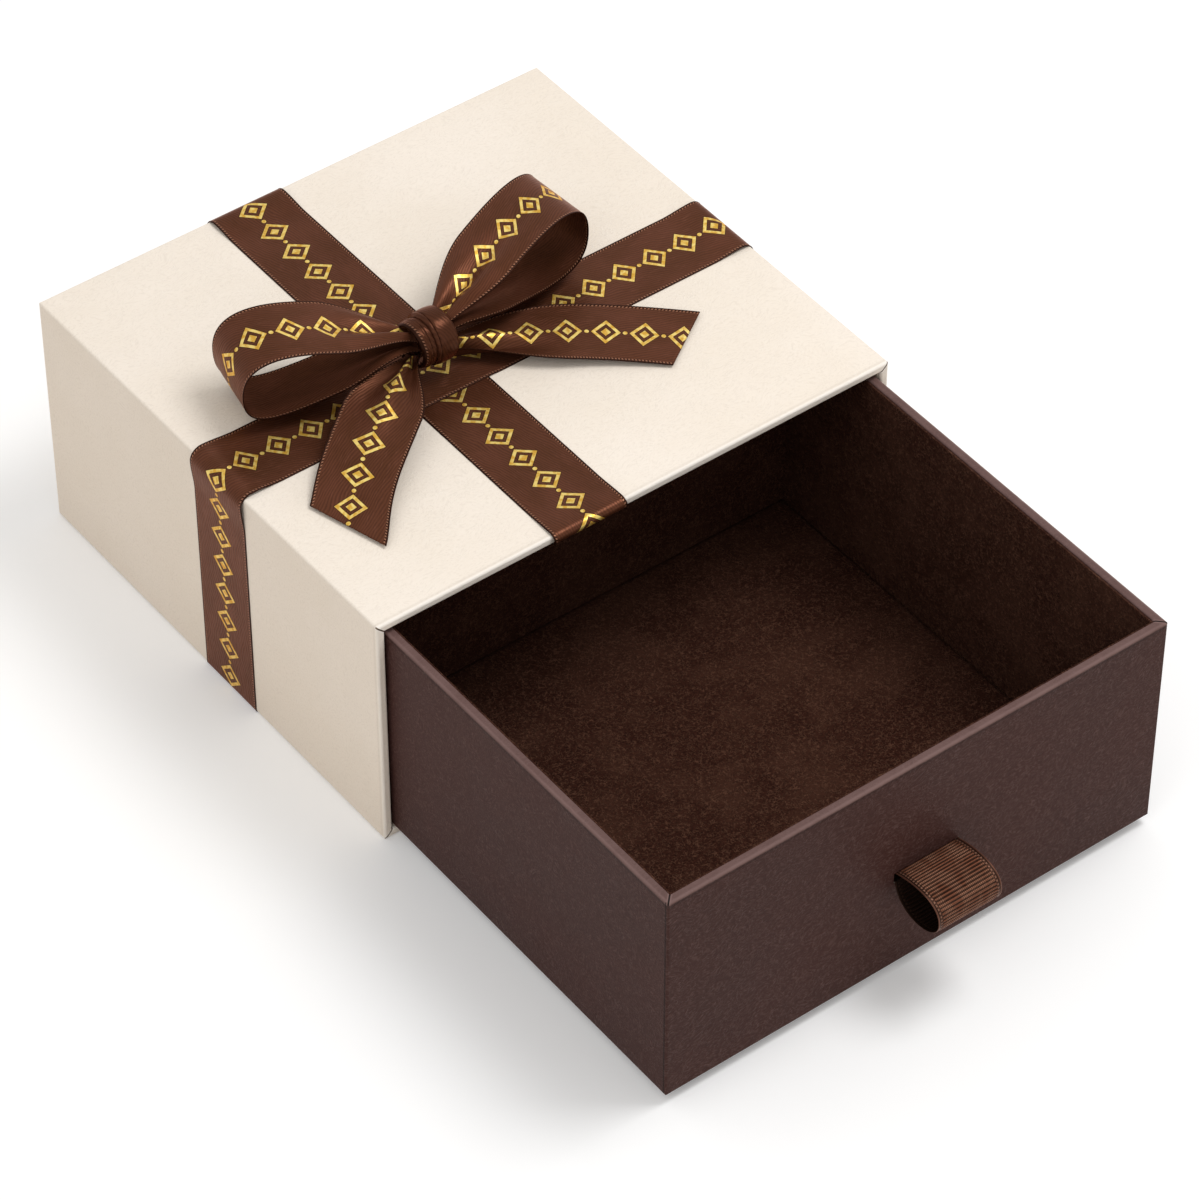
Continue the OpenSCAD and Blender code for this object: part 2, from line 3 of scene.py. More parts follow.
import bpy
import numpy as np
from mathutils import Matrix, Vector


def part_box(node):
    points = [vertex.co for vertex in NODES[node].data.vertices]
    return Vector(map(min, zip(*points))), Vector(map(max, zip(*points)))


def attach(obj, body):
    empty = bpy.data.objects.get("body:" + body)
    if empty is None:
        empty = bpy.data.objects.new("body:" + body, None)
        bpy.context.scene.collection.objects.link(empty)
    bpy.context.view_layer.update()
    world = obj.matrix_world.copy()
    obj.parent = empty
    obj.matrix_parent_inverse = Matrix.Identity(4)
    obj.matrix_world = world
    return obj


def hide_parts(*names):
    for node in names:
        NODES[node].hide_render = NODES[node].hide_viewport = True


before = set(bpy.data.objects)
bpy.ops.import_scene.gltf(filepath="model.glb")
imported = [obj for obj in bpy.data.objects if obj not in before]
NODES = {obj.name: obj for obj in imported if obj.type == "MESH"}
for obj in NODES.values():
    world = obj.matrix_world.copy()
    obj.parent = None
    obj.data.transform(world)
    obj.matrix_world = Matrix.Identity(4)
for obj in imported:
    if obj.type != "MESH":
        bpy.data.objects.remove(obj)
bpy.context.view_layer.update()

MM = 0.001
PER_METRE = 1000.0

# ---------------------------------------------------------------- sizes, in millimetres

# The sleeve: its size, its height over the floor, the rounding of its edges, and its wall
SLEEVE_W, SLEEVE_L, SLEEVE_H = 356.0, 334.0, 166.0
SLEEVE_Z = 0.55
SLEEVE_TOP = SLEEVE_Z + SLEEVE_H
SLEEVE_FRONT = -SLEEVE_L / 2
SLEEVE_ROUND = 1.6
SLEEVE_WALL = 5.75
DRAWER_FRONT = -414.0
# Joints of the drawer's wrap beside its front corners
DRAWER_SEAM = -411.9
# Axis and sign of each box's open face
SLEEVE_MOUTH, DRAWER_MOUTH = (1, -1), (2, 1)

# The two ribbons round the sleeve, where they cross, and how far the lengthwise one's ends run in
# behind the mouth's lip and under the back
GLUE = 0.05
RIBBON_W, RIBBON_T, RIBBON_BEAD = 50.0, 0.5, 0.12
CROSS_Y, LENGTH_X = -16.0, -35.0
CROSSING = np.array([LENGTH_X, CROSS_Y, SLEEVE_TOP])
MOUTH_TUCK, BACK_TUCK = 30.0, 40.0
# A bend over the sleeve's edge: its radius, and the run that lifts off on each side of it
BEND_R, BEND_RUN = 8.0, 22.0
# The rounded nose over the mouth's lip: its half depth, its middle behind the front, and its rise
NOSE_REACH, NOSE_BACK, NOSE_RISE = 5.0, 2.6, 1.0
# The ramp by which the cross ribbon climbs over the other, and its gap from that one's edge
RAMP, RAMP_GAP = 6.0, 2.0
BAND_STEP = 4.0

# The bow: its ribbon, the widths to which loops and tails are gathered, and its knot
BOW_W, BOW_BEAD = 47.0, 0.2
LOOP_GATHER, TAIL_GATHER = 11.0, 8.0
KNOT_L, KNOT_D, KNOT_H, KNOT_Z = 23.0, 28.0, 29.0, 24.0
KNOT_T, KNOT_BEAD = 1.4, 0.1

# The pull: its ribbon, the slot that it comes out of, and its glued tails
PULL_W, PULL_T, PULL_X, PULL_Z = 44.0, 0.8, 6.0, 76.6
PULL_BODY_T, PULL_BEAD = 0.62, 0.15
SLOT_H, SLOT_GAP, PULL_TAIL, PULL_BEHIND, PULL_BEND = 8.0, 0.3, 25.0, 5.25, 0.6
# Its two curves as out and up, from the slot to the loop's far end and from there back
PULL_OVER = ((14.0, 8.5), (36.6, 10.0), (36.6, -6.0))
PULL_UNDER = ((36.6, -6.0), (36.6, -22.0), (4.0, -26.0))
RIB_PITCH, RIB_DEPTH = 2.2, 0.55
# The flat edge beside the ribs, the width over which they rise, and the mesh's steps along them
RIB_EDGE, RIB_FADE, PULL_STEP = 1.6, 0.8, 0.24


def added(name, data):
    """A new object in the scene."""
    made = bpy.data.objects.new(name, data)
    bpy.context.scene.collection.objects.link(made)
    return made


# ---------------------------------------------------------------- camera, lights and floor

# Places in metres, sensor and lens in mm
CAMERA_PLACE, CAMERA_AIM = (-1.31739, -1.86849, 2.18799), (-0.01542, -0.15142, 0.080)
CAMERA_SENSOR, CAMERA_LENS, CAMERA_REACH = 36.0, 160.575, 50.0
# Name, place, aim, size in metres and power in watts
LAMPS = (("overhead", (0.85, -0.65, 2.35), (0, -0.1, 0.1), 1.0, 25.5),
         ("side", (-1.5, -0.7, 1.5), (0, -0.1, 0.05), 1.4, 4))
STUDIO_COLOUR, STUDIO_STRENGTH = (1.0, 0.99, 0.975, 1), 0.65
FLOOR_HALF = 12.0
# The floor as it lights the object, as it is seen, and the share of its own light when seen
FLOOR_BOUNCE, FLOOR_SEEN, FLOOR_LIFT = (0.78, 0.72, 0.65, 1), (0.94, 0.94, 0.94, 1), 0.14


def aimed(name, data, place, aim):
    made = added(name, data)
    made.location = place
    made.rotation_euler = (Vector(aim) - Vector(place)).to_track_quat("-Z", "Y").to_euler()
    return made


def make_camera():
    data = bpy.data.cameras.new("camera")
    data.sensor_width = CAMERA_SENSOR
    data.lens = CAMERA_LENS
    data.clip_end = CAMERA_REACH
    bpy.context.scene.camera = aimed("camera", data, CAMERA_PLACE, CAMERA_AIM)


def area_light(name, place, aim, size, power):
    data = bpy.data.lights.new(name, "AREA")
    data.shape = "SQUARE"
    data.size = size
    data.energy = power
    aimed(name, data, place, aim)


def show(tree, hidden, seen, output):
    """Shows one shader to the rays that see the plain background, which are the camera's and those
    in gloss and glass, and the other to the rays that light the object."""
    path = tree.nodes.new("ShaderNodeLightPath")
    last = path.outputs["Is Camera Ray"]
    for kind in ("Is Glossy Ray", "Is Transmission Ray"):
        most = tree.nodes.new("ShaderNodeMath")
        most.operation = "MAXIMUM"
        tree.links.new(last, most.inputs[0])
        tree.links.new(path.outputs[kind], most.inputs[1])
        last = most.outputs[0]
    mix = tree.nodes.new("ShaderNodeMixShader")
    tree.links.new(last, mix.inputs["Fac"])
    tree.links.new(hidden.outputs[0], mix.inputs[1])
    tree.links.new(seen.outputs[0], mix.inputs[2])
    tree.links.new(mix.outputs[0], tree.nodes.new(output).inputs["Surface"])


def make_world():
    world = bpy.data.worlds.new("studio")
    bpy.context.scene.world = world
    world.use_nodes = True
    tree = world.node_tree
    tree.nodes.clear()
    studio = tree.nodes.new("ShaderNodeBackground")
    studio.inputs["Color"].default_value = STUDIO_COLOUR
    studio.inputs["Strength"].default_value = STUDIO_STRENGTH
    white = tree.nodes.new("ShaderNodeBackground")
    white.inputs["Strength"].default_value = 1.0
    show(tree, studio, white, "ShaderNodeOutputWorld")


def make_floor():
    far = FLOOR_HALF
    mesh = bpy.data.meshes.new("floor")
    corners = [(-far, -far, 0), (far, -far, 0), (far, far, 0), (-far, far, 0)]
    mesh.from_pydata(corners, [], [(0, 1, 2, 3)])
    floor = added("floor", mesh)
    material = bpy.data.materials.new("floor_white")
    material.use_nodes = True
    tree = material.node_tree
    tree.nodes.clear()
    bounce = tree.nodes.new("ShaderNodeBsdfDiffuse")
    bounce.inputs["Color"].default_value = FLOOR_BOUNCE
    pale = tree.nodes.new("ShaderNodeBsdfDiffuse")
    pale.inputs["Color"].default_value = FLOOR_SEEN
    lift = tree.nodes.new("ShaderNodeEmission")
    lift.inputs["Strength"].default_value = FLOOR_LIFT
    seen = tree.nodes.new("ShaderNodeAddShader")
    tree.links.new(pale.outputs[0], seen.inputs[0])
    tree.links.new(lift.outputs[0], seen.inputs[1])
    show(tree, bounce, seen, "ShaderNodeOutputMaterial")
    mesh.materials.append(material)


# ---------------------------------------------------------------- node helpers

class Shader:
    """A material's node tree, with short calls for what the materials here share."""

    def __init__(self, name):
        self.material = bpy.data.materials.new(name)
        self.material.use_nodes = True
        self.tree = self.material.node_tree
        self.bsdf = self.tree.nodes["Principled BSDF"]

    def node(self, kind, **settings):
        made = self.tree.nodes.new(kind)
        for name, value in settings.items():
            setattr(made, name, value)
        return made

    def link(self, source, target):
        self.tree.links.new(source, target)

    def put(self, socket, value):
        """Links an output, or sets a number or colour."""
        if isinstance(value, bpy.types.NodeSocket):
            self.link(value, socket)
        else:
            socket.default_value = value

    def finish(self, sockets):
        """Fills the surface's sockets by name, and gives the material."""
        for name, value in sockets.items():
            self.put(self.bsdf.inputs[name], value)
        return self.material

    def math(self, operation, a, b=0.0, c=0.0):
        made = self.node("ShaderNodeMath", operation=operation)
        for socket, value in zip(made.inputs, (a, b, c)):
            self.put(socket, value)
        return made.outputs[0]

    def plus(self, a, b):
        return self.math("ADD", a, b)

    def less(self, a, b):
        return self.math("SUBTRACT", a, b)

    def times(self, product, *others):
        for other in others:
            product = self.math("MULTIPLY", product, other)
        return product

    def size(self, value):
        return self.math("ABSOLUTE", value)

    def beat(self, value, pitch):
        """How far a value is into its pitch, from 0 to 1."""
        return self.math("FRACT", self.math("DIVIDE", value, pitch))

    def wave(self, kind, value, pitch):
        """Goes from 0 to 1 and back in each pitch of a value."""
        turning = self.math(kind, self.times(value, 2 * math.pi / pitch))
        return self.math("MULTIPLY_ADD", turning, 0.5, 0.5)

    def step(self, value, low, high, start=0.0, end=1.0):
        """Goes smoothly from start to end as value goes from low to high."""
        made = self.node("ShaderNodeMapRange", interpolation_type="SMOOTHSTEP")
        names = ("Value", "From Min", "From Max", "To Min", "To Max")
        for name, v in zip(names, (value, low, high, start, end)):
            self.put(made.inputs[name], v)
        return made.outputs["Result"]

    def band(self, value, rise, fall):
        """1 between a rise and a fall. Each is the value at which it is 0, and at which it is 1."""
        return self.times(self.step(value, *rise), self.step(value, *fall))

    def mix(self, fac, a, b):
        made = self.node("ShaderNodeMix", data_type="RGBA", blend_type="MIX")
        self.put(made.inputs["Factor"], fac)
        self.put(made.inputs[6], a)
        self.put(made.inputs[7], b)
        return made.outputs[2]

    def laid(self, under, colour, *shares):
        """A colour laid over another by the product of some shares."""
        return self.mix(self.times(*shares), under, colour)

    def noise(self, vector, scale, detail=2.0, rough=0.5):
        made = self.node("ShaderNodeTexNoise")
        self.link(vector, made.inputs["Vector"])
        made.inputs["Scale"].default_value = scale
        made.inputs["Detail"].default_value = detail
        made.inputs["Roughness"].default_value = rough
        return made.outputs["Fac"]

    def place(self):
        """The point in the shared frame at rest, in metres: every piece's origin is the frame's."""
        return self.node("ShaderNodeTexCoord").outputs["Object"]

    def stretched(self, vector, x, y, z, turn=0.0):
        made = self.node("ShaderNodeMapping")
        self.link(vector, made.inputs["Vector"])
        made.inputs["Scale"].default_value = (x, y, z)
        made.inputs["Rotation"].default_value = (0, 0, turn)
        return made.outputs["Vector"]

    def grain(self, uv, x, y, detail, rough, turn=0.0):
        """Noise on the ribbon, with so many grains a metre along it and across it."""
        return self.noise(self.stretched(uv, x, y, 1, turn), 1.0, detail, rough)

    def parts(self, vector):
        made = self.node("ShaderNodeSeparateXYZ")
        self.link(vector, made.inputs[0])
        return made.outputs

    def bump(self, height, metres, normal=None):
        made = self.node("ShaderNodeBump")
        made.inputs["Strength"].default_value = 1.0
        made.inputs["Distance"].default_value = metres
        self.link(height, made.inputs["Height"])
        if normal is not None:
            self.link(normal, made.inputs["Normal"])
        return made.outputs["Normal"]


def rgb(text):
    """Linear colour from a hex code."""
    def linear(v):
        return v / 12.92 if v <= 0.04045 else ((v + 0.055) / 1.055) ** 2.4
    return tuple(linear(int(text[i:i + 2], 16) / 255) for i in (1, 3, 5)) + (1.0,)


def curls(s, place, scale, width):
    """Thin curly lines, like short fibres that lie in a paper or a nap."""
    near = s.size(s.less(s.noise(place, scale, 1.5, 0.5), 0.5))
    broken = s.step(s.noise(place, scale * 0.63, 2, 0.6), 0.46, 0.6)
    return s.times(s.step(near, width, 0.0), broken)


def wavering(s, place, scale, reach):
    """The place pushed about by up to a reach in metres, so that a pattern on it wavers."""
    drift = s.node("ShaderNodeTexNoise")
    s.link(place, drift.inputs["Vector"])
    drift.inputs["Scale"].default_value = scale
    drift.inputs["Detail"].default_value = 1.0
    push = s.node("ShaderNodeVectorMath", operation="MULTIPLY_ADD")
    s.link(drift.outputs["Color"], push.inputs[0])
    push.inputs[1].default_value = (reach, reach, reach)
    s.link(place, push.inputs[2])
    return push.outputs[0]


def box_off(s, place, box):
    """The three coordinates of a point from the middle of an upright box, in metres."""
    xyz = s.parts(place)
    return [s.less(xyz[i], box[0][i]) for i in range(3)]


def past_rim(s, off, box, mouth):
    """How far a point lies past the plane of the box's open face, in metres."""
    axis, sign = mouth
    return s.less(s.times(off[axis], float(sign)), box[1][axis])


def ribbon_places(s, width):
    """The ribbon's UV map, and in mm a point's place along it, across it and from its edge."""
    uv = s.node("ShaderNodeUVMap", uv_map="ribbon").outputs[0]
    xy = s.parts(uv)
    along = s.times(xy[0], PER_METRE)
    across = s.times(xy[1], PER_METRE)
    return uv, along, across, s.less(width / 2, s.size(across))


# ---------------------------------------------------------------- materials

# On wrapping paper, in metres past the open face's plane, past a side or from a line: the rim's
# face and its outer edge, which carry a painted highlight, the painted shadow under its roll, its
# mitres' lips with their painted highlight and their slits, the wrap's joints
RIM_FACE = (-0.0011, -0.0004)
ARRIS, ARRIS_RIM = (-0.0022, -0.0006), (-0.0030, -0.0012)
ROLL_SHADOW, ROLL_SIDE = ((-0.0042, -0.0026), (-0.0012, -0.0024)), (-0.0012, -0.0004)
MITRE_RIM, MITRE_SIDE = (-0.0020, -0.0010), (-0.012, -0.008)
MITRE_LIP, MITRE_SLIT = (0.0021, 0.0013), (0.0008, 0.0005)
JOINT, JOINT_SIDE = (0.0006, 0.00025), (-0.0006, -0.0003)
# Where the board is darkened with painted shade, so that the mitres' slits show dark, in metres
# past the plane of its open face
SLIT_SHADE = (-0.008, -0.006)

# On satin, in mm: its twill, the selvedge from the edge, and the row of slanting stitches, whose
# dashes are in shares of their pitch
TWILL_PITCH, TWILL_WANDER = 1.7, 7.0
SELVEDGE, STITCH_PITCH, STITCH_SLANT = (1.15, 0.75), 2.0, 0.6
STITCH_ROW, STITCH_DASH = ((0.9, 1.15), (2.1, 1.85)), ((0.06, 0.2), (0.74, 0.6))
SATIN_TINT, SATIN_STRETCH, SATIN_TURN = (1.0, 0.52, 0.38, 1.0), 0.6, 0.25
# The gold chain, in mm: its repeat, half length and half height of its lozenges and of the hearts
# in them, half a line's width and a dot's radius. A scale turns a lozenge's measure into mm.
FOIL_PERIOD = 22.0
LOZENGE, LOZENGE_SCALE, LINE_HALF = (7.2, 8.3), 5.5, 1.0
HEART, HEART_SCALE, DOT = (2.9, 3.3), 2.1, 1.35
# Its edge and the dark beside it in mm outside its outline, and how it shines
FOIL_EDGE, FOIL_SHADOW, FOIL_METALLIC, FOIL_ROUGH = (0.12, -0.12), (0.75, 0.15), 0.65, 0.36

# On ribbed ribbon, in mm: its warp, and from the edge the flat woven band, the stitches in it, the
# groove and the outer cord
WARP_PITCH, WARP_WANDER = 1.1, 1.6
WOVEN_EDGE, EDGE_GROOVE, EDGE_CORD = (3.4, 3.0), ((0.9, 1.15), (1.75, 1.5)), (1.0, 0.8)
EDGE_STITCH, EDGE_DASH = ((1.6, 1.9), (2.9, 2.6)), ((0.1, 0.25), (0.8, 0.65))
RIBBED_TINT = (1.0, 0.55, 0.38, 1.0)


def paper(name, colours, box, mouth, rim_painted_light, specular, rough, grain, relief, seam=None):
    """Wrapping paper with a fine wavering grain. colours are the paper's, its shade, its light and
    its dark. rim_painted_light is the share of painted highlight on the rim's face and edge and of
    painted shadow under it. grain is the share of the grain, relief its height and seam the Y of
    the wrap's joints, both in metres."""
    colour, shade, light, deep = (rgb(text) for text in colours)
    s = Shader(name)
    place = s.place()
    off = box_off(s, place, box)
    depth = [s.less(s.size(off[i]), box[1][i]) for i in range(3)]
    rim = past_rim(s, off, box, mouth)
    one, other = (depth[i] for i in range(3) if i != mouth[0])
    clouds = s.noise(place, 9, 3, 0.55)
    bent = wavering(s, place, 45, 0.02)
    ripples = s.noise(s.stretched(bent, 0.9, 2.4, 1.9, 0.5), 430, 2, 0.6)
    fibres = curls(s, place, 330, 0.06)
    tone = s.mix(s.step(clouds, 0.3, 0.7), shade, colour)
    tone = s.laid(tone, light, s.step(ripples, 0.48, 0.68), grain)
    tone = s.laid(tone, deep, s.step(ripples, 0.5, 0.32), grain * 0.8)
    tone = s.laid(tone, light, fibres, grain * 0.9)
    # Painted highlight on the rim's face and on its outer edge
    edge = s.math("MAXIMUM", one, other)
    arris = s.times(s.step(s.plus(edge, rim), *ARRIS), s.step(rim, *ARRIS_RIM))
    uneven = s.step(s.noise(place, 60, 3, 0.6), 0.25, 0.7, 0.7, 1.0)
    tone = s.laid(tone, light, s.step(rim, *RIM_FACE), rim_painted_light[0], uneven)
    tone = s.laid(tone, light, arris, rim_painted_light[1], uneven)
    # A shadow line under the rim's rolled edge
    under = s.band(rim, *ROLL_SHADOW)
    tone = s.laid(tone, deep, under, s.step(edge, *ROLL_SIDE), rim_painted_light[2])
    # Painted highlight on the turned-in paper's lips along the mitres of the rim, with the slit
    # between them
    apart = s.size(s.less(one, other))
    corner = s.times(s.step(rim, *MITRE_RIM), s.step(edge, *MITRE_SIDE))
    tone = s.laid(tone, light, corner, s.step(apart, *MITRE_LIP), 0.85)
    tone = s.laid(tone, deep, corner, s.step(apart, *MITRE_SLIT))
    if seam is not None:
        # The joint beside a corner: a dark line on the side faces
        off_seam = s.size(s.less(s.parts(place)[1], seam))
        tone = s.laid(tone, deep, s.step(off_seam, *JOINT), s.step(depth[0], *JOINT_SIDE), 0.7)
    close = s.bump(s.plus(s.times(fibres, 0.5), ripples), relief)
    return s.finish({
        "Base Color": tone,
        "Roughness": s.step(clouds, 0.3, 0.7, rough - 0.04, rough + 0.05),
        "Specular IOR Level": specular,
        "Normal": s.bump(s.noise(place, 38, 3, 0.5), 0.00010, close),
    })


def suede(name, dark, colour, light):
    s = Shader(name)
    place = s.place()
    nap = s.noise(place, 620, 3, 0.7)
    tufts = curls(s, place, 400, 0.07)
    finer = curls(s, s.stretched(place, 1, 1, 1, 0.9), 640, 0.09)
    brushed = s.noise(place, 26, 4, 0.65)
    tone = s.mix(s.step(nap, 0.36, 0.64), dark, colour)
    tone = s.laid(tone, light, s.math("MAXIMUM", tufts, finer), 0.6)
    tone = s.laid(tone, light, s.step(brushed, 0.4, 0.66, 0.0, 0.14))
    return s.finish({
        "Base Color": tone,
        "Roughness": 0.95,
        "Specular IOR Level": 0.1,
        "Sheen Weight": 0.10,
        "Sheen Roughness": 0.5,
        "Sheen Tint": rgb("#8a6048"),
        "Normal": s.bump(s.plus(tufts, finer), 0.0004, s.bump(nap, 0.0004)),
    })


def off_foil(s, along, across):
    """How far a point of the ribbon lies outside its chain of lozenges and dots, in mm."""
    a = s.size(s.less(s.times(s.beat(along, FOIL_PERIOD), FOIL_PERIOD), FOIL_PERIOD / 2))
    b = s.size(across)

    def off_lozenge(half):
        return s.less(s.plus(s.math("DIVIDE", a, half[0]), s.math("DIVIDE", b, half[1])), 1.0)

    line = s.less(s.times(s.size(off_lozenge(LOZENGE)), LOZENGE_SCALE), LINE_HALF)
    heart = s.times(off_lozenge(HEART), HEART_SCALE)
    gap = s.less(FOIL_PERIOD / 2, a)
    dot = s.less(s.math("SQRT", s.plus(s.math("POWER", gap, 2.0), s.math("POWER", b, 2.0))), DOT)
    return s.math("MINIMUM", s.math("MINIMUM", line, heart), dot)


def satin(name, width, specular, rough, metallic, dark=0.0, foil=False):
    """Satin ribbon: x of its UV map is metres along it, y metres from its middle. metallic is the
    share of its tinted sheen."""
    s = Shader(name)
    uv, along, across, edge = ribbon_places(s, width)
    # Threads that run along the ribbon at a slant and waver
    slant = s.plus(s.times(along, 0.3), s.times(across, 0.95))
    slant = s.math("MULTIPLY_ADD", s.grain(uv, 38, 52, 2, 0.5), TWILL_WANDER, slant)
    uneven = s.grain(uv, 110, 620, 3, 0.6, 0.3)
    lines = s.times(s.wave("SINE", slant, TWILL_PITCH), s.step(uneven, 0.3, 0.7, 0.35, 1.0))
    clouds = s.grain(uv, 25, 45, 3, 0.6)
    base = s.mix(s.step(clouds, 0.3, 0.72), rgb("#56321f"), rgb("#643b2a"))
    base = s.laid(base, rgb("#2a120b"), lines, 0.6)
    base = s.laid(base, rgb("#7c4f3d"), s.step(uneven, 0.52, 0.8), 0.35)
    # Selvedge, with a row of stitches just inside it
    base = s.laid(base, rgb("#1c0a05"), s.step(edge, *SELVEDGE), 0.9)
    beat = s.beat(s.plus(along, s.times(edge, STITCH_SLANT)), STITCH_PITCH)
    row = s.band(edge, *STITCH_ROW)
    stitch = s.times(s.band(beat, *STITCH_DASH), row)
    hole = s.less(row, stitch)
    base = s.laid(base, rgb("#1c0a05"), hole, 0.9)
    base = s.laid(base, rgb("#a6755b"), stitch, 0.8)
    height = s.less(s.plus(s.times(lines, 0.4), stitch), s.times(hole, 0.6))
    gloss = s.step(uneven, 0.3, 0.7, rough - 0.05, rough + 0.06)
    # dark lays a dark brown over the whole ribbon; on the knot it is painted shade
    if dark:
        base = s.laid(base, rgb("#180a05"), dark)
    if foil:
        far = off_foil(s, along, across)
        gold = s.step(far, *FOIL_EDGE)
        base = s.laid(base, rgb("#1f0d06"), s.step(far, *FOIL_SHADOW), 0.55)
        flecks = s.step(s.grain(uv, 300, 300, 2, 0.5), 0.35, 0.65)
        base = s.laid(base, s.mix(flecks, rgb("#d9a944"), rgb("#f6dc83")), gold)
        gloss = s.mix(gold, gloss, (FOIL_ROUGH, FOIL_ROUGH, FOIL_ROUGH, 1))
        height = s.plus(s.times(height, s.less(1.0, gold)), s.times(gold, 0.5))
        metallic = s.math("MULTIPLY_ADD", gold, FOIL_METALLIC - metallic, metallic)
    # The sheen of satin spreads across the threads
    return s.finish({
        "Base Color": base,
        "Metallic": metallic,
        "Roughness": gloss,
        "Specular IOR Level": specular,
        "Specular Tint": SATIN_TINT,
        "Anisotropic": SATIN_STRETCH,
        "Anisotropic Rotation": SATIN_TURN,
        "Tangent": s.node("ShaderNodeTangent", direction_type="UV_MAP", uv_map="ribbon").outputs[0],
        "Normal": s.bump(height, 0.00020),
    })


def grosgrain(name, width, inside=False):
    """Ribbed ribbon: ribs run across it, crossed by fine warp threads, between two edge cords. The
    side that lies inside the loop is darkened with painted shade."""
    s = Shader(name)
    uv, along, across, edge = ribbon_places(s, width)
    rib = s.wave("COSINE", along, RIB_PITCH)
    wander = s.math("MULTIPLY_ADD", s.grain(uv, 60, 90, 2, 0.5), WARP_WANDER, across)
    warp = s.wave("SINE", wander, WARP_PITCH)
    fuzz = s.grain(uv, 900, 500, 3, 0.6)
    patch = s.step(s.grain(uv, 55, 120, 2, 0.5), 0.4, 0.62)
    # The ribs' crests lighter as painted highlight, and near black between them as painted shade
    base = s.mix(s.step(rib, 0.34, 0.9), rgb("#040100"), rgb("#6a3e2b"))
    between = s.math("MULTIPLY_ADD", patch, 0.45, 0.15)
    base = s.laid(base, rgb("#1e0d07"), s.less(1.0, warp), between)
    # Painted glints on the warp threads over the ribs' crests
    base = s.laid(base, rgb("#8a6450"), warp, rib, patch)
    base = s.laid(base, rgb("#5c3a2c"), s.step(fuzz, 0.5, 0.75), 0.2)
    # Flat woven edges: an outer cord, a dark groove and a row of stitches
    base = s.laid(base, rgb("#24120c"), s.step(edge, *WOVEN_EDGE), 0.85)
    stitch = s.times(s.band(s.beat(along, RIB_PITCH), *EDGE_DASH), s.band(edge, *EDGE_STITCH))
    base = s.laid(base, rgb("#866150"), stitch, 0.85)
    base = s.laid(base, rgb("#0d0502"), s.band(edge, *EDGE_GROOVE), 0.85)
    base = s.laid(base, rgb("#5e3d31"), s.step(edge, *EDGE_CORD))
    # The inside of the loop is darkened with painted shade
    if inside:
        base = s.laid(base, rgb("#0a0402"), 0.9)
    height = s.plus(s.times(warp, 0.6), s.plus(s.times(fuzz, 0.6), stitch))
    return s.finish({
        "Base Color": base,
        "Roughness": 0.6 if inside else 0.36,
        "Specular IOR Level": 0.2 if inside else 0.4,
        "Metallic": 0.3,
        "Specular Tint": RIBBED_TINT,
        "Normal": s.bump(height, 0.00015),
    })


def pressed_board(name, box, mouth):
    """Grey board, darkened with painted shade along the open rim, where it can show in the mitres.
    """
    s = Shader(name)
    place = s.place()
    chips = s.noise(place, 260, 5, 0.7)
    rim = past_rim(s, box_off(s, place, box), box, mouth)
    tone = s.mix(s.step(chips, 0.35, 0.7), rgb("#8f897e"), rgb("#b3ab9d"))
    tone = s.laid(tone, rgb("#1a0f0b"), s.step(rim, *SLIT_SHADE), 0.95)
    return s.finish({"Base Color": tone, "Roughness": 0.9, "Normal": s.bump(chips, 0.0002)})


# ---------------------------------------------------------------- ribbon meshes

# Mesh lines beside a ribbon's edge, in mm from it, and the number of lines between them
EDGE_LINES = (0.0, 0.18, 0.45, 0.8, 1.15, 1.5)
BAND_LINES, BOW_LINES, KNOT_LINES, PULL_LINES = 14, 30, 40, 20
# The cord in the edge, in mm: its middle, half width and end, and the way over which it fades
CORD_MIDDLE, CORD_HALF, CORD_END, CORD_FADE = 0.45, 0.5, 1.1, 0.65
# Thickness of the ribbon between its cords, as a share of the full one
BODY_SHARE = 0.72


def smooth(x):
    c = np.clip(x, 0, 1)
    return c * c * (3 - 2 * c)


def unit(v):
    return v / np.linalg.norm(v, axis=-1, keepdims=True)


def ribbon_across(width, inner):
    """Places across a ribbon, from -1 to 1, closer together at its edges."""
    rim = 1 - np.array(EDGE_LINES) / (width / 2)
    middle = np.linspace(-rim[-1], rim[-1], inner)[1:-1]
    return np.concatenate([-rim, middle, rim[::-1]])


def ribbon_depth(v, width, thick, bead):
    """Thickness across a ribbon, whose edges are thickened into a fine cord."""
    d = (1 - np.abs(v)) * width / 2
    cord = np.sqrt(np.clip(1 - ((d - CORD_MIDDLE) / CORD_HALF) ** 2, 0.02, 1)) * (thick + bead)
    body = np.full_like(d, thick * BODY_SHARE)
    faded = body + (cord - body) * smooth((CORD_END - d) / CORD_FADE)
    return np.where(d < CORD_MIDDLE, cord, faded)


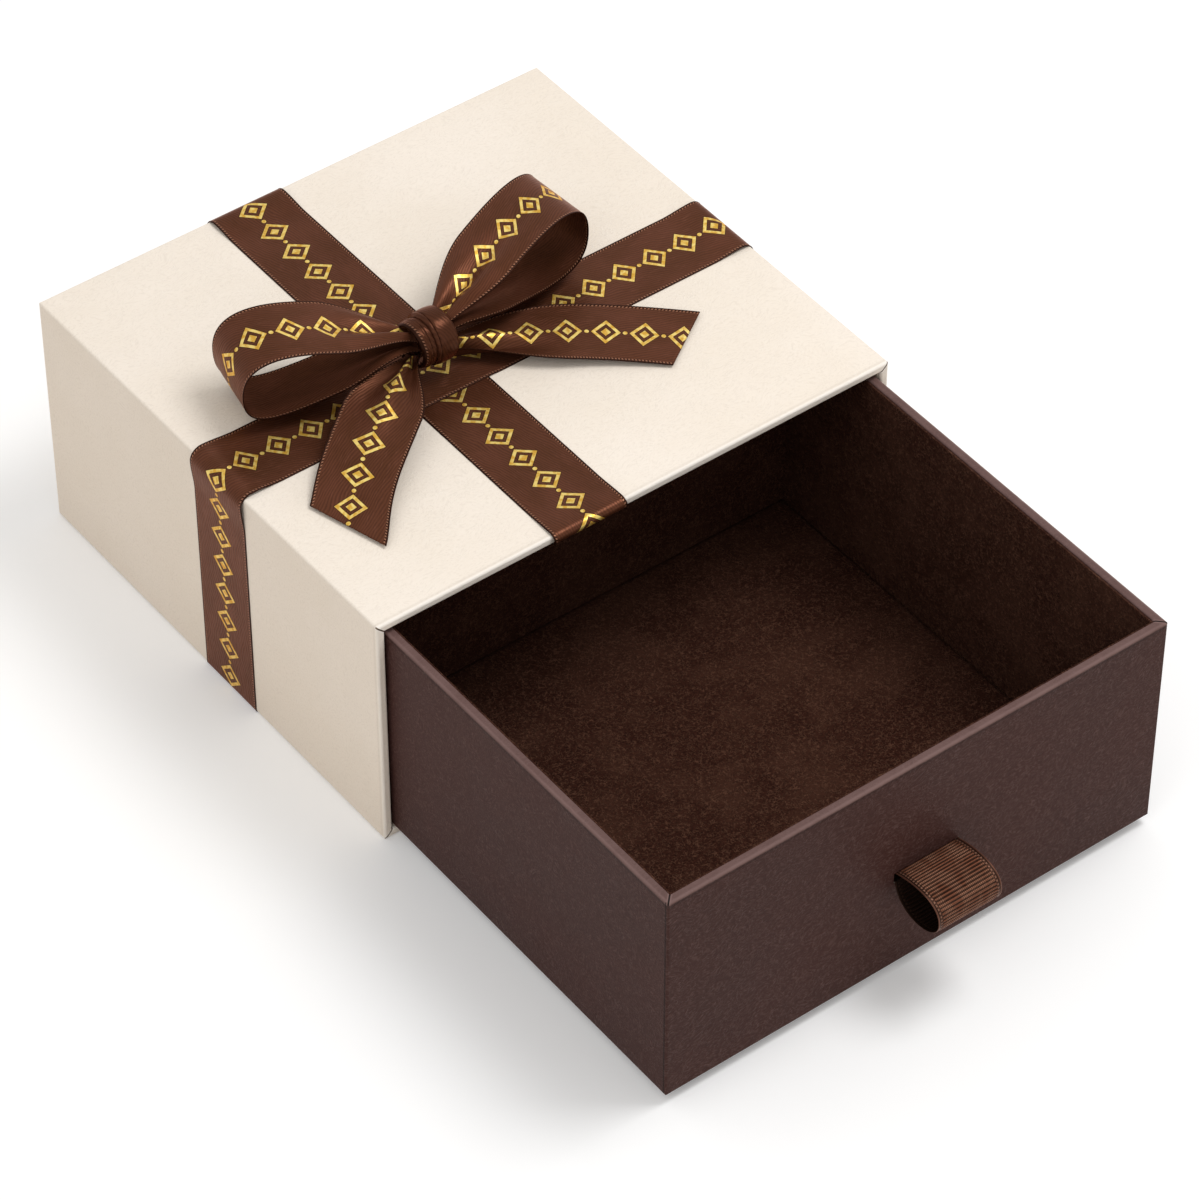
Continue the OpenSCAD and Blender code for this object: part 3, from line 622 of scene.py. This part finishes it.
def ribbon_piece(name, surface, v, along, width, thick, bead, materials,
                 closed=False, flip=False, shift=0.0):
    """Closed mesh round a middle surface, surface[i, j] in mm. along is the ribbon's own length in
    mm at each station, or at each point. The first material is on the side of the normal, and flip
    turns that to the other side. shift moves the pattern across the ribbon."""
    n, m = surface.shape[:2]
    if closed:
        ds = np.roll(surface, -1, 0) - np.roll(surface, 1, 0)
    else:
        ds = np.gradient(surface, axis=0)
    normal = unit(np.cross(ds, np.gradient(surface, axis=1)))
    if flip:
        normal = -normal
    offset = normal * (ribbon_depth(v, width, thick, bead)[None, :, None] / 2)
    sides = [(surface + offset).reshape(-1, 3), (surface - offset).reshape(-1, 3)]
    points = np.concatenate(sides) * MM
    base = n * m
    rows = n if closed else n - 1
    length = along * MM
    if length.ndim == 1:
        length = np.repeat(length[:, None], m, axis=1)
    across = (v * width / 2 + shift) * MM
    faces, uvs, index = [], [], []

    def add(face, corner, turn, side):
        faces.append(face[::-1] if turn else face)
        uvs.append(corner[::-1] if turn else corner)
        index.append(side)

    for i in range(rows):
        k = (i + 1) % n
        for j in range(m - 1):
            face = (i * m + j, i * m + j + 1, k * m + j + 1, k * m + j)
            corner = [(length[i, j], across[j]), (length[i, j + 1], across[j + 1]),
                      (length[i + 1, j + 1], across[j + 1]), (length[i + 1, j], across[j])]
            add(face, corner, not flip, 0)
            add(tuple(base + p for p in face), corner, flip, 1)
        for j, turn in ((0, flip), (m - 1, not flip)):
            a, d = i * m + j, k * m + j
            corner = [(length[i, j], across[j])] * 2 + [(length[i + 1, j], across[j])] * 2
            add((a, base + a, base + d, d), corner, turn, 1)
    if not closed:
        for i, turn in ((0, not flip), (n - 1, flip)):
            for j in range(m - 1):
                a, b = i * m + j, i * m + j + 1
                corner = [(length[i, j], across[j])] * 2 + [(length[i, j + 1], across[j + 1])] * 2
                add((a, base + a, base + b, b), corner, turn, 1)
    mesh = bpy.data.meshes.new(name)
    mesh.from_pydata([tuple(p) for p in points], [], faces)
    layer = mesh.uv_layers.new(name="ribbon")
    layer.data.foreach_set("uv", np.array(uvs, np.float32).reshape(-1))
    for material in materials:
        mesh.materials.append(material)
    mesh.polygons.foreach_set("material_index", index)
    mesh.polygons.foreach_set("use_smooth", [True] * len(faces))
    mesh.validate()
    mesh.update()
    return added(name, mesh)


def lengths(middle, closed=False):
    """Length along a line at each of its points, and at its start again where it is closed."""
    points = np.concatenate([middle, middle[:1]]) if closed else middle
    return np.concatenate([[0], np.cumsum(np.linalg.norm(np.diff(points, axis=0), axis=1))])


def spaced(points, step):
    """Points along a line, no further apart than a step."""
    out = [points[0]]
    for a, b in zip(points[:-1], points[1:]):
        n = max(1, int(math.ceil(np.linalg.norm(b - a) / step)))
        out += [a + (b - a) * k / n for k in range(1, n + 1)]
    return np.array(out)


def arc(centre, radius, start, end, steps=8):
    t = np.radians(np.linspace(start, end, steps + 1))
    return np.array(centre) + radius * np.stack([np.cos(t), np.sin(t)], 1)


def soft_bend(centre, tight, turn):
    """Bend of a stiff ribbon over a corner, from its left face to its top, with the runs that lift
    off towards it: it touches only the corner. centre and tight are those of the bend that hugs
    it. turn is 1, or -1 for the way back."""
    inward = (BEND_R - tight) / math.sqrt(2)
    proud = BEND_R - tight - inward
    middle = (centre[0] + inward, centre[1] - inward)
    t = np.linspace(0, 1, 9)
    side = np.stack([centre[0] - tight - proud * smooth(t), middle[1] - BEND_RUN * (1 - t)], 1)
    top = np.stack([middle[0] + BEND_RUN * t, centre[1] + tight + proud * smooth(1 - t)], 1)
    return np.concatenate([side[:-1], arc(middle, BEND_R, 180, 90, 12), top[1:]])[::turn]


def mirrored(line):
    """A line on the other side of the middle."""
    return line * np.array([-1.0, 1.0])


def cross_path():
    """The cross ribbon's middle line in X and Z, round the sleeve from under its left edge, where
    the pattern's ends meet out of sight."""
    r = SLEEVE_ROUND + GLUE + RIBBON_T / 2
    x, z = SLEEVE_W / 2 - SLEEVE_ROUND, SLEEVE_H / 2 - SLEEVE_ROUND
    mid = SLEEVE_Z + SLEEVE_H / 2
    top = mid + z + r
    lift = RIBBON_T + GLUE
    flat = RIBBON_W / 2 + RAMP_GAP
    t = np.linspace(0, 1, 9)
    line = np.concatenate([
        arc((-x, mid - z), r, 270, 180),
        soft_bend((-x, mid + z), r, 1),
        np.stack([LENGTH_X - flat - RAMP * (1 - t), top + lift * smooth(t)], 1),
        np.stack([LENGTH_X + flat + RAMP * t, top + lift * smooth(1 - t)], 1),
        mirrored(soft_bend((-x, mid + z), r, -1)),
        arc((x, mid - z), r, 0, -90),
    ])
    return spaced(np.concatenate([line, line[:1]]), BAND_STEP)[:-1]


def length_path():
    """The lengthwise ribbon's middle line in Y and Z, from its end inside the mouth."""
    r = SLEEVE_ROUND + GLUE + RIBBON_T / 2
    outer_z = SLEEVE_TOP - SLEEVE_ROUND
    inner_z = SLEEVE_TOP - SLEEVE_WALL + SLEEVE_ROUND
    back = SLEEVE_L / 2 - SLEEVE_ROUND
    low = SLEEVE_Z + SLEEVE_ROUND
    # Over the mouth's lip it makes a rounded nose
    half = (outer_z - inner_z) / 2 + r + NOSE_RISE / 2
    nose = (SLEEVE_FRONT + NOSE_BACK, outer_z + r + NOSE_RISE - half)
    turn = np.radians(np.linspace(270, 90, 25))
    run = np.linspace(0, 1, 9)[1:]
    line = np.concatenate([
        [[SLEEVE_FRONT + MOUTH_TUCK, inner_z - r]],
        np.stack([nose[0] + NOSE_REACH * np.cos(turn), nose[1] + half * np.sin(turn)], 1),
        np.stack([nose[0] + BEND_RUN * run, outer_z + r + NOSE_RISE * smooth(1 - run)], 1),
        mirrored(soft_bend((-back, outer_z), r, -1)),
        arc((back, low), r, 0, -90),
        [[SLEEVE_L / 2 - BACK_TUCK, low - r]],
    ])
    return spaced(line, BAND_STEP)


def band_surface(line, v, axis, middle):
    """Middle surface of a ribbon round the sleeve, whose width lies along an axis."""
    surface = np.zeros((len(line), len(v), 3))
    surface[..., axis] = middle + v[None, :] * RIBBON_W / 2
    surface[..., 1 - axis] = line[:, None, 0]
    surface[..., 2] = line[:, None, 1]
    return surface


def make_bands(printed, plain):
    v = ribbon_across(RIBBON_W, BAND_LINES)
    ribbon = (RIBBON_W, RIBBON_T, RIBBON_BEAD, [printed, plain])
    line = cross_path()
    cross = ribbon_piece("cross_ribbon_satin", band_surface(line, v, 1, CROSS_Y), v,
                         lengths(line, True), *ribbon, closed=True)
    line = length_path()
    length = ribbon_piece("length_ribbon_satin", band_surface(line, v, 0, LENGTH_X), v,
                          lengths(line), *ribbon, flip=True)
    return cross, length


# ---------------------------------------------------------------- bow

# Each curve is in mm from the crossing. A loop's two are as out and up along its first angle, and
# its width lies along the second. A fold is its height in mm, its place across and its half width
# as shares of the half ribbon, its drift towards the edge, and the shares of the run at which it
# is up, starts to fall and has gone. A tail is open from the share pinch of its run on, its ends
# are how far its two edges run past its spine, and side is 1 where the second is on the right.
LOOPS = {
    "left": dict(
        curve=[[[6, 27], [45, 48], [115, 73], [115, 29]],
               [[115, 29], [115, -20], [46, 29], [6, 21]]],
        angles=(160.5, 257.0), tilt=(-1.3, 12.0), flip=False,
        folds=[(4.6, 0.52, 0.34, 0, 0.05, 0.10, 0.46), (2.6, -0.55, 0.34, 0, 0.05, 0.10, 0.46),
               (-2.4, 0.05, 0.22, 0, 0.05, 0.14, 0.5)]),
    "right": dict(
        curve=[[[6, 26], [29, 45], [131, 78], [131, 28]],
               [[131, 28], [131, -26], [31, 43], [6, 20]]],
        angles=(17.5, 273.0), tilt=(3.7, 9.0), flip=True,
        folds=[(4.0, 0.56, 0.34, 0, 0.05, 0.12, 0.6), (3.0, -0.55, 0.36, 0, 0.05, 0.10, 0.5),
               (-3.4, -0.02, 0.25, 0.15, 0.05, 0.2, 0.75)]),
}
TAILS = {
    "front": dict(
        spine=[[-7, 2, 15], [-37, -18, 32], [-80, -48, 5], [-86, -54, 2]],
        pinch=0.45, ends=(21, 47), side=-1,
        folds=[(4.2, -0.5, 0.34, 0, 0.07, 0.16, 0.62), (4.6, 0.52, 0.34, 0, 0.07, 0.16, 0.62),
               (-2.0, 0.04, 0.22, 0, 0.07, 0.2, 0.7)]),
    "right": dict(
        spine=[[8, 2, 12.7], [36, -3, 12], [77, -18, 6.5], [128, -64, 2]],
        pinch=0.66, ends=(12, 0), side=1,
        folds=[(8.0, 0.42, 0.30, 0.25, 0.08, 0.14, 0.66),
               (-2.0, -0.12, 0.28, 0.1, 0.08, 0.14, 0.6)]),
}
# Share of a loop's run by which it is open, and how its folds turn on the way back
LOOP_PINCH, FOLD_BACK = 0.38, -0.7
# Shares of a tail's run: where its end starts to slant, and where its direction settles
SLANT, SETTLE = 0.4, (0.6, 0.95)
LOOP_STEPS, TAIL_STEPS, WRAP_STEPS, FINE_STEPS = 130, 90, 72, 600
UP = np.array([0.0, 0.0, 1.0])


def bezier(p, t):
    p, t = np.array(p, float), np.asarray(t)[:, None]
    return ((1 - t) ** 3 * p[0] + 3 * (1 - t) ** 2 * t * p[1]
            + 3 * (1 - t) * t * t * p[2] + t ** 3 * p[3])


def slope(p, t):
    p, t = np.array(p, float), np.asarray(t)[:, None]
    return (3 * (1 - t) ** 2 * (p[1] - p[0]) + 6 * (1 - t) * t * (p[2] - p[1])
            + 3 * t * t * (p[3] - p[2]))


def ridge(v, centre, width):
    """A rounded ridge, 1 at its crest."""
    return np.exp(-((v - centre) / width) ** 2)


def folds(spec, u, v):
    """Height of the folds that run out from the knot, over the smooth ribbon, in mm."""
    depth = np.zeros((len(u), len(v)))
    for height, centre, width, drift, up, start, end in spec["folds"]:
        place = centre + drift * u
        rise = smooth(u / up) * (1 - smooth((u - start) / (end - start)))
        depth += height * rise[:, None] * ridge(v[None, :], place[:, None], width)
    return depth


def even_steps(middle, low, high, steps):
    """Parameters from low to high at which a curve's points lie evenly along it."""
    fine = np.linspace(low, high, FINE_STEPS)
    far = lengths(middle(fine))
    return np.interp(np.linspace(0, far[-1], steps + 1), far, fine)


def opening(gather, share, pinch):
    """How far a gathered ribbon is open, from 0 to 1, and half its width there in mm."""
    opened = smooth(share / pinch)
    return opened, (gather + (BOW_W - gather) * opened) / 2


def folded_surface(middle, across, normal, depth, v):
    return (middle[:, None, :] + across[:, None, :] * v[None, :, None]
            + normal[:, None, :] * depth[..., None])


def loop_surface(spec, v, steps):
    top, under = spec["curve"]

    def middle(s):
        over, back = bezier(top, np.minimum(s, 1)), bezier(under, np.maximum(s - 1, 0))
        return np.where((s <= 1)[:, None], over, back)

    s = even_steps(middle, 0, 2, steps)
    run = (s > 1).astype(int)
    u = np.where(run == 0, s, 2 - s)
    c = middle(s)
    ahead, back = slope(top, np.minimum(s, 1)), slope(under, np.maximum(s - 1, 0))
    m = np.where(run[:, None] == 0, ahead, back)
    a, b = (math.radians(x) for x in spec["angles"])
    out = np.array([math.cos(a), math.sin(a), 0])
    side = np.array([math.cos(b), math.sin(b), 0])
    opened, half = opening(LOOP_GATHER, u, LOOP_PINCH)
    rise = np.array(spec["tilt"])[run] / 2 * opened * (1 - u ** 3)
    centre = out * c[:, :1] + UP * c[:, 1:]
    near = side * half[:, None] + UP * rise[:, None]
    normal = unit(UP * m[:, :1] - out * m[:, 1:])
    depth = folds(spec, u, v)
    # On the return the folds point the other way
    depth[run == 1] *= FOLD_BACK
    return folded_surface(centre, near, normal, depth, v), centre


def make_loop(name, spec, printed, plain):
    v = ribbon_across(BOW_W, BOW_LINES)
    surface, middle = loop_surface(spec, v, LOOP_STEPS)
    far = lengths(middle)
    piece = ribbon_piece(name, surface + CROSSING, v, far, BOW_W, RIBBON_T, BOW_BEAD,
                         [printed, plain], flip=spec["flip"])
    return piece, far[-1]


def tail_surface(spec, v, steps):
    side, e = spec["side"], spec["ends"]

    def ahead_of(t):
        flat = np.array([1, 1, 0])
        last = unit((np.array(spec["spine"][3]) - np.array(spec["spine"][2])) * flat)
        settled = smooth((t - SETTLE[0]) / (SETTLE[1] - SETTLE[0]))[:, None]
        return unit(unit(slope(spec["spine"], t) * flat) * (1 - settled) + last * settled)

    def shear(t):
        return smooth((t - SLANT) / (1 - SLANT))

    def spine(t):
        return bezier(spec["spine"], t) + ahead_of(t) * ((e[0] + e[1]) / 2 * shear(t))[:, None]

    t = even_steps(spine, 0, 1, steps)
    ahead = ahead_of(t)
    near = np.stack([ahead[:, 1], -ahead[:, 0], 0 * t], 1) * side
    half = opening(TAIL_GATHER, t, spec["pinch"])[1]
    skew = (e[1] - e[0]) / 2 * shear(t)
    middle = spine(t)
    across = near * half[:, None] + ahead * skew[:, None]
    normal = unit(np.cross(slope(spec["spine"], t), near)) * side
    surface = folded_surface(middle, across, normal, folds(spec, t, v), v)
    far = lengths(middle)
    return surface, far, far[:, None] + skew[:, None] * v[None, :]


def make_tail(name, spec, printed, plain):
    v = ribbon_across(BOW_W, BOW_LINES)
    surface, far, along = tail_surface(spec, v, TAIL_STEPS)
    piece = ribbon_piece(name, surface + CROSSING, v, along, BOW_W, RIBBON_T, BOW_BEAD,
                         [printed, plain], flip=spec["side"] > 0)
    return piece, far[-1]


# A wrap of the knot: half the gap under it in degrees, in mm its crown and the roll of its edges,
# and as shares of its half width where the roll starts and over what it goes
WRAP_GAP, WRAP_CROWN, WRAP_ROLL, ROLL_FROM, ROLL_OVER = 12, 0.9, 1.3, 0.8, 0.2
# The crease round a wrap: its depth in mm, its half width, and how it sways. Beside it is a ridge.
CREASE_DEPTH, CREASE_WIDTH, CREASE_SWAY, CREASE_TURN = 1.0, 0.075, 0.10, 0.6
RIDGE_HEIGHT, RIDGE_WIDTH, RIDGE_OFF = 0.35, 0.09, 0.16
# The narrow wrap's share of the knot's length
NARROW_SHARE = 0.42


def wrap_surface(x, width, lean, grow, crease, v, steps):
    """One wrap of the knot: a folded band with rolled edges, that leans from back to front."""
    a = np.radians(np.linspace(WRAP_GAP - 180, 180 - WRAP_GAP, steps + 1))
    ring = np.stack([x + lean * np.sin(a), (KNOT_D / 2 + grow) * np.sin(a),
                     (KNOT_H / 2 + grow) * np.cos(a)], 1)
    normal = np.stack([0 * a, np.sin(a), np.cos(a)], 1)
    roll = smooth((np.abs(v) - ROLL_FROM) / ROLL_OVER) ** 2
    off = v[None, :] - (crease + CREASE_SWAY * np.sin(a + CREASE_TURN))[:, None]
    depth = WRAP_CROWN * (1 - v ** 2)[None, :] - WRAP_ROLL * roll[None, :]
    depth = depth - CREASE_DEPTH * ridge(off, 0, CREASE_WIDTH)
    depth = depth + RIDGE_HEIGHT * ridge(off, -RIDGE_OFF, RIDGE_WIDTH)
    surface = ring[:, None, :] + normal[:, None, :] * depth[..., None]
    surface[..., 0] += v[None, :] * width / 2
    return surface, ring


def make_knot(plain):
    narrow = NARROW_SHARE * KNOT_L
    wide = KNOT_L - narrow
    middle = CROSSING + np.array([0, 1, KNOT_Z])
    pieces = []
    # Name, X, width, lean, how far it stands off the knot's size, crease, shift of the threads
    for name, x, w, lean, grow, crease, shift in (
            ("bow_knot_wide_wrap", narrow / 2, wide + 0.6, -0.8, 0.9, -0.66, 0.0),
            ("bow_knot_narrow_wrap", -wide / 2 + 0.6, narrow + 0.8, -1.2, -1.0, 0.1,
             (narrow - BOW_W) / 2)):
        v = ribbon_across(w, KNOT_LINES)
        surface, ring = wrap_surface(x, w, lean, grow, crease, v, WRAP_STEPS)
        pieces.append(ribbon_piece(name, surface + middle, v, lengths(ring), w, KNOT_T, KNOT_BEAD,
                                   [plain, plain], shift=shift))
    return pieces


# ---------------------------------------------------------------- pull

def pull_path():
    """The pull's middle line as out from the front and up, from one glued tail to the other."""
    mouth = SLOT_H / 2 - SLOT_GAP - PULL_T / 2
    behind = PULL_BEHIND + PULL_T / 2
    bend = PULL_BEND
    t = np.linspace(0, 1, 60)
    line = np.concatenate([
        [[-behind, mouth + PULL_TAIL - PULL_T / 2]],
        arc((-behind + bend, mouth + bend), bend, 180, 270, 4),
        bezier([(0, mouth), *PULL_OVER], t),
        bezier([*PULL_UNDER, (0, -mouth)], t[1:]),
        arc((-behind + bend, -mouth - bend), bend, 90, 180, 4),
        [[-behind, -mouth - PULL_TAIL + PULL_T / 2]],
    ])
    return spaced(line, PULL_STEP)


def make_pull(outside, inside):
    line = pull_path()
    along = lengths(line)
    v = ribbon_across(PULL_W, PULL_LINES)
    ds = unit(np.gradient(line, axis=0))
    outward = np.stack([-ds[:, 1], ds[:, 0]], 1)
    inner = smooth(((1 - np.abs(v)) * PULL_W / 2 - RIB_EDGE) / RIB_FADE)
    rib = RIB_DEPTH / 2 * np.cos(2 * math.pi * along / RIB_PITCH)[:, None] * inner[None, :]
    ribbed = line[:, None, :] + outward[:, None, :] * rib[..., None]
    surface = np.zeros((len(line), len(v), 3))
    surface[..., 0] = PULL_X + v[None, :] * PULL_W / 2
    surface[..., 1] = DRAWER_FRONT - ribbed[..., 0]
    surface[..., 2] = PULL_Z + ribbed[..., 1]
    piece = ribbon_piece("pull_loop_grosgrain", surface, v, along, PULL_W, PULL_BODY_T, PULL_BEAD,
                         [outside, inside])
    return piece, along[-1]


# ---------------------------------------------------------------- padded floor

PAD_GRID, PAD_SEED, PAD_WAVES = (110, 106), 11, 14
# In metres: how far its face lies below its box, its crown and the way over which it rises, its
# waves and theirs, and the drop and the width of its soft edge
PAD_SUNK, PAD_CROWN, PAD_RISE = 0.0003, 0.0004, 0.03
PAD_WAVE, PAD_CALM, PAD_DROP, PAD_EDGE = 0.00009, 0.01, 0.0012, 0.0016


def make_pad(material):
    lo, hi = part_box("floor_pad")
    nx, ny = PAD_GRID
    gx, gy = np.meshgrid(np.linspace(lo.x, hi.x, nx), np.linspace(lo.y, hi.y, ny), indexing="ij")
    edge = np.minimum(np.minimum(gx - lo.x, hi.x - gx), np.minimum(gy - lo.y, hi.y - gy))
    rng = np.random.default_rng(PAD_SEED)
    wave = np.zeros_like(gx)
    for _ in range(PAD_WAVES):
        k = rng.normal(0, 32, 2)
        wave += rng.uniform(0.3, 1) * np.sin(gx * k[0] + gy * k[1] + rng.uniform(0, 6.28))
    wave *= PAD_WAVE / np.abs(wave).max()
    crown = PAD_CROWN * smooth(edge / PAD_RISE)
    inward = 1 - np.clip(edge / PAD_EDGE, 0, 1)
    fall = PAD_DROP * (1 - np.sqrt(np.clip(1 - inward ** 2, 0, 1)))
    top = hi.z - PAD_SUNK + crown + wave * smooth(edge / PAD_CALM) - fall
    points = list(zip(gx.ravel(), gy.ravel(), top.ravel()))
    faces = [(i * ny + j, (i + 1) * ny + j, (i + 1) * ny + j + 1, i * ny + j + 1)
             for i in range(nx - 1) for j in range(ny - 1)]
    # The rim's points in turn, and straight below them the flat underside's
    rim = [i * ny for i in range(nx)] + [(nx - 1) * ny + j for j in range(1, ny)]
    rim += [i * ny + ny - 1 for i in range(nx - 2, -1, -1)] + list(range(ny - 2, 0, -1))
    base, n = len(points), len(rim)
    points += [(points[k][0], points[k][1], lo.z) for k in rim]
    faces += [(rim[k], base + k, base + (k + 1) % n, rim[(k + 1) % n]) for k in range(n)]
    faces.append(tuple(base + k for k in range(n))[::-1])
    mesh = bpy.data.meshes.new("floor_pad_suede")
    mesh.from_pydata(points, [], faces)
    mesh.polygons.foreach_set("use_smooth", [True] * len(faces))
    mesh.materials.append(material)
    mesh.update()
    return added("floor_pad_suede", mesh)


# ---------------------------------------------------------------- assembly

def dress(name, material):
    """Gives a carried CAD node its material."""
    node = NODES[name]
    node.data.materials.clear()
    node.data.materials.append(material)


def whole(name):
    """Centre and half size of a node's box, in metres."""
    lo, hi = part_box(name)
    return [(a + b) / 2 for a, b in zip(lo, hi)], [(b - a) / 2 for a, b in zip(lo, hi)]


make_camera()
make_world()
make_floor()
for lamp in LAMPS:
    area_light(*lamp)
bpy.context.scene.view_settings.view_transform = "Standard"

sleeve_box, drawer_box = whole("sleeve_wrap"), whole("drawer_wrap")
cream = paper("cream_paper", ("#f5eadd", "#f1e5d6", "#fcf6ee", "#6b5743"), sleeve_box, SLEEVE_MOUTH,
              rim_painted_light=(0.25, 0.8, 0.1), specular=0.3, rough=0.55, grain=0.09, relief=0.00016)
cream_inside = paper("cream_lining", ("#e2d6c4", "#dccfbc", "#ece2d2", "#6b5743"),
                     whole("sleeve_lining"), SLEEVE_MOUTH,
                     rim_painted_light=(0.0, 0.0, 0.0), specular=0.25, rough=0.65, grain=0.09, relief=0.00016)
mauve = paper("mauve_paper", ("#452c28", "#3f2723", "#7d6460", "#140907"), drawer_box, DRAWER_MOUTH,
              rim_painted_light=(0.6, 0.8, 0.35), specular=0.07, rough=0.5, grain=0.21, relief=0.00026,
              seam=DRAWER_SEAM * MM)
nap = suede("brown_suede", rgb("#28120b"), rgb("#3c2017"), rgb("#74503f"))
sleeve_board = pressed_board("pressed_board_sleeve", sleeve_box, SLEEVE_MOUTH)
drawer_board = pressed_board("pressed_board_drawer", drawer_box, DRAWER_MOUTH)
printed = satin("satin_with_foil", RIBBON_W, 0.32, 0.34, 0.42, foil=True)
printed_bow = satin("bow_satin_with_foil", BOW_W, 0.28, 0.34, 0.42, foil=True)
# The knot's satin is the bow's outside, darkened with painted shade
shaded_knot_satin = satin("bow_satin_outside", BOW_W, 0.3, 0.29, 0.5, dark=0.34)
plain_satin = satin("satin_plain", RIBBON_W, 0.04, 0.5, 0.45, dark=0.3)
plain_bow = satin("bow_satin_plain", BOW_W, 0.04, 0.5, 0.45, dark=0.3)
ribbed = grosgrain("grosgrain", PULL_W)
ribbed_inside = grosgrain("grosgrain_inside", PULL_W, True)

for name in NODES:
    if name.endswith("_board"):
        dress(name, sleeve_board if name.startswith("sleeve") else drawer_board)
for material, names in (
        (cream, ("sleeve_wrap", "sleeve_back_paper")),
        (cream_inside, ("sleeve_lining",)),
        (mauve, ("drawer_wrap", "drawer_base_paper")),
        (nap, ("lining_front", "lining_back", "lining_left", "lining_right"))):
    for name in names:
        dress(name, material)

cross, length = make_bands(printed, plain_satin)
for piece, node in ((cross, "cross_ribbon"), (length, "length_ribbon")):
    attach(piece, "sleeve")
    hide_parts(node)

for side, spec in LOOPS.items():
    piece, long = make_loop("bow_loop_%s_satin" % side, spec, printed_bow, plain_bow)
    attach(piece, "sleeve")
    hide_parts("bow_loop_" + side)
for side, spec in TAILS.items():
    piece, long = make_tail("bow_tail_%s_satin" % side, spec, printed_bow, plain_bow)
    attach(piece, "sleeve")
    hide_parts("bow_tail_" + side)
for piece in make_knot(shaded_knot_satin):
    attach(piece, "sleeve")
    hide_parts("bow_knot")

pull, long = make_pull(ribbed, ribbed_inside)
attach(pull, "drawer")
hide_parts("pull_loop")

pad = make_pad(nap)
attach(pad, "drawer")
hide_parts("floor_pad")

bpy.context.view_layer.update()
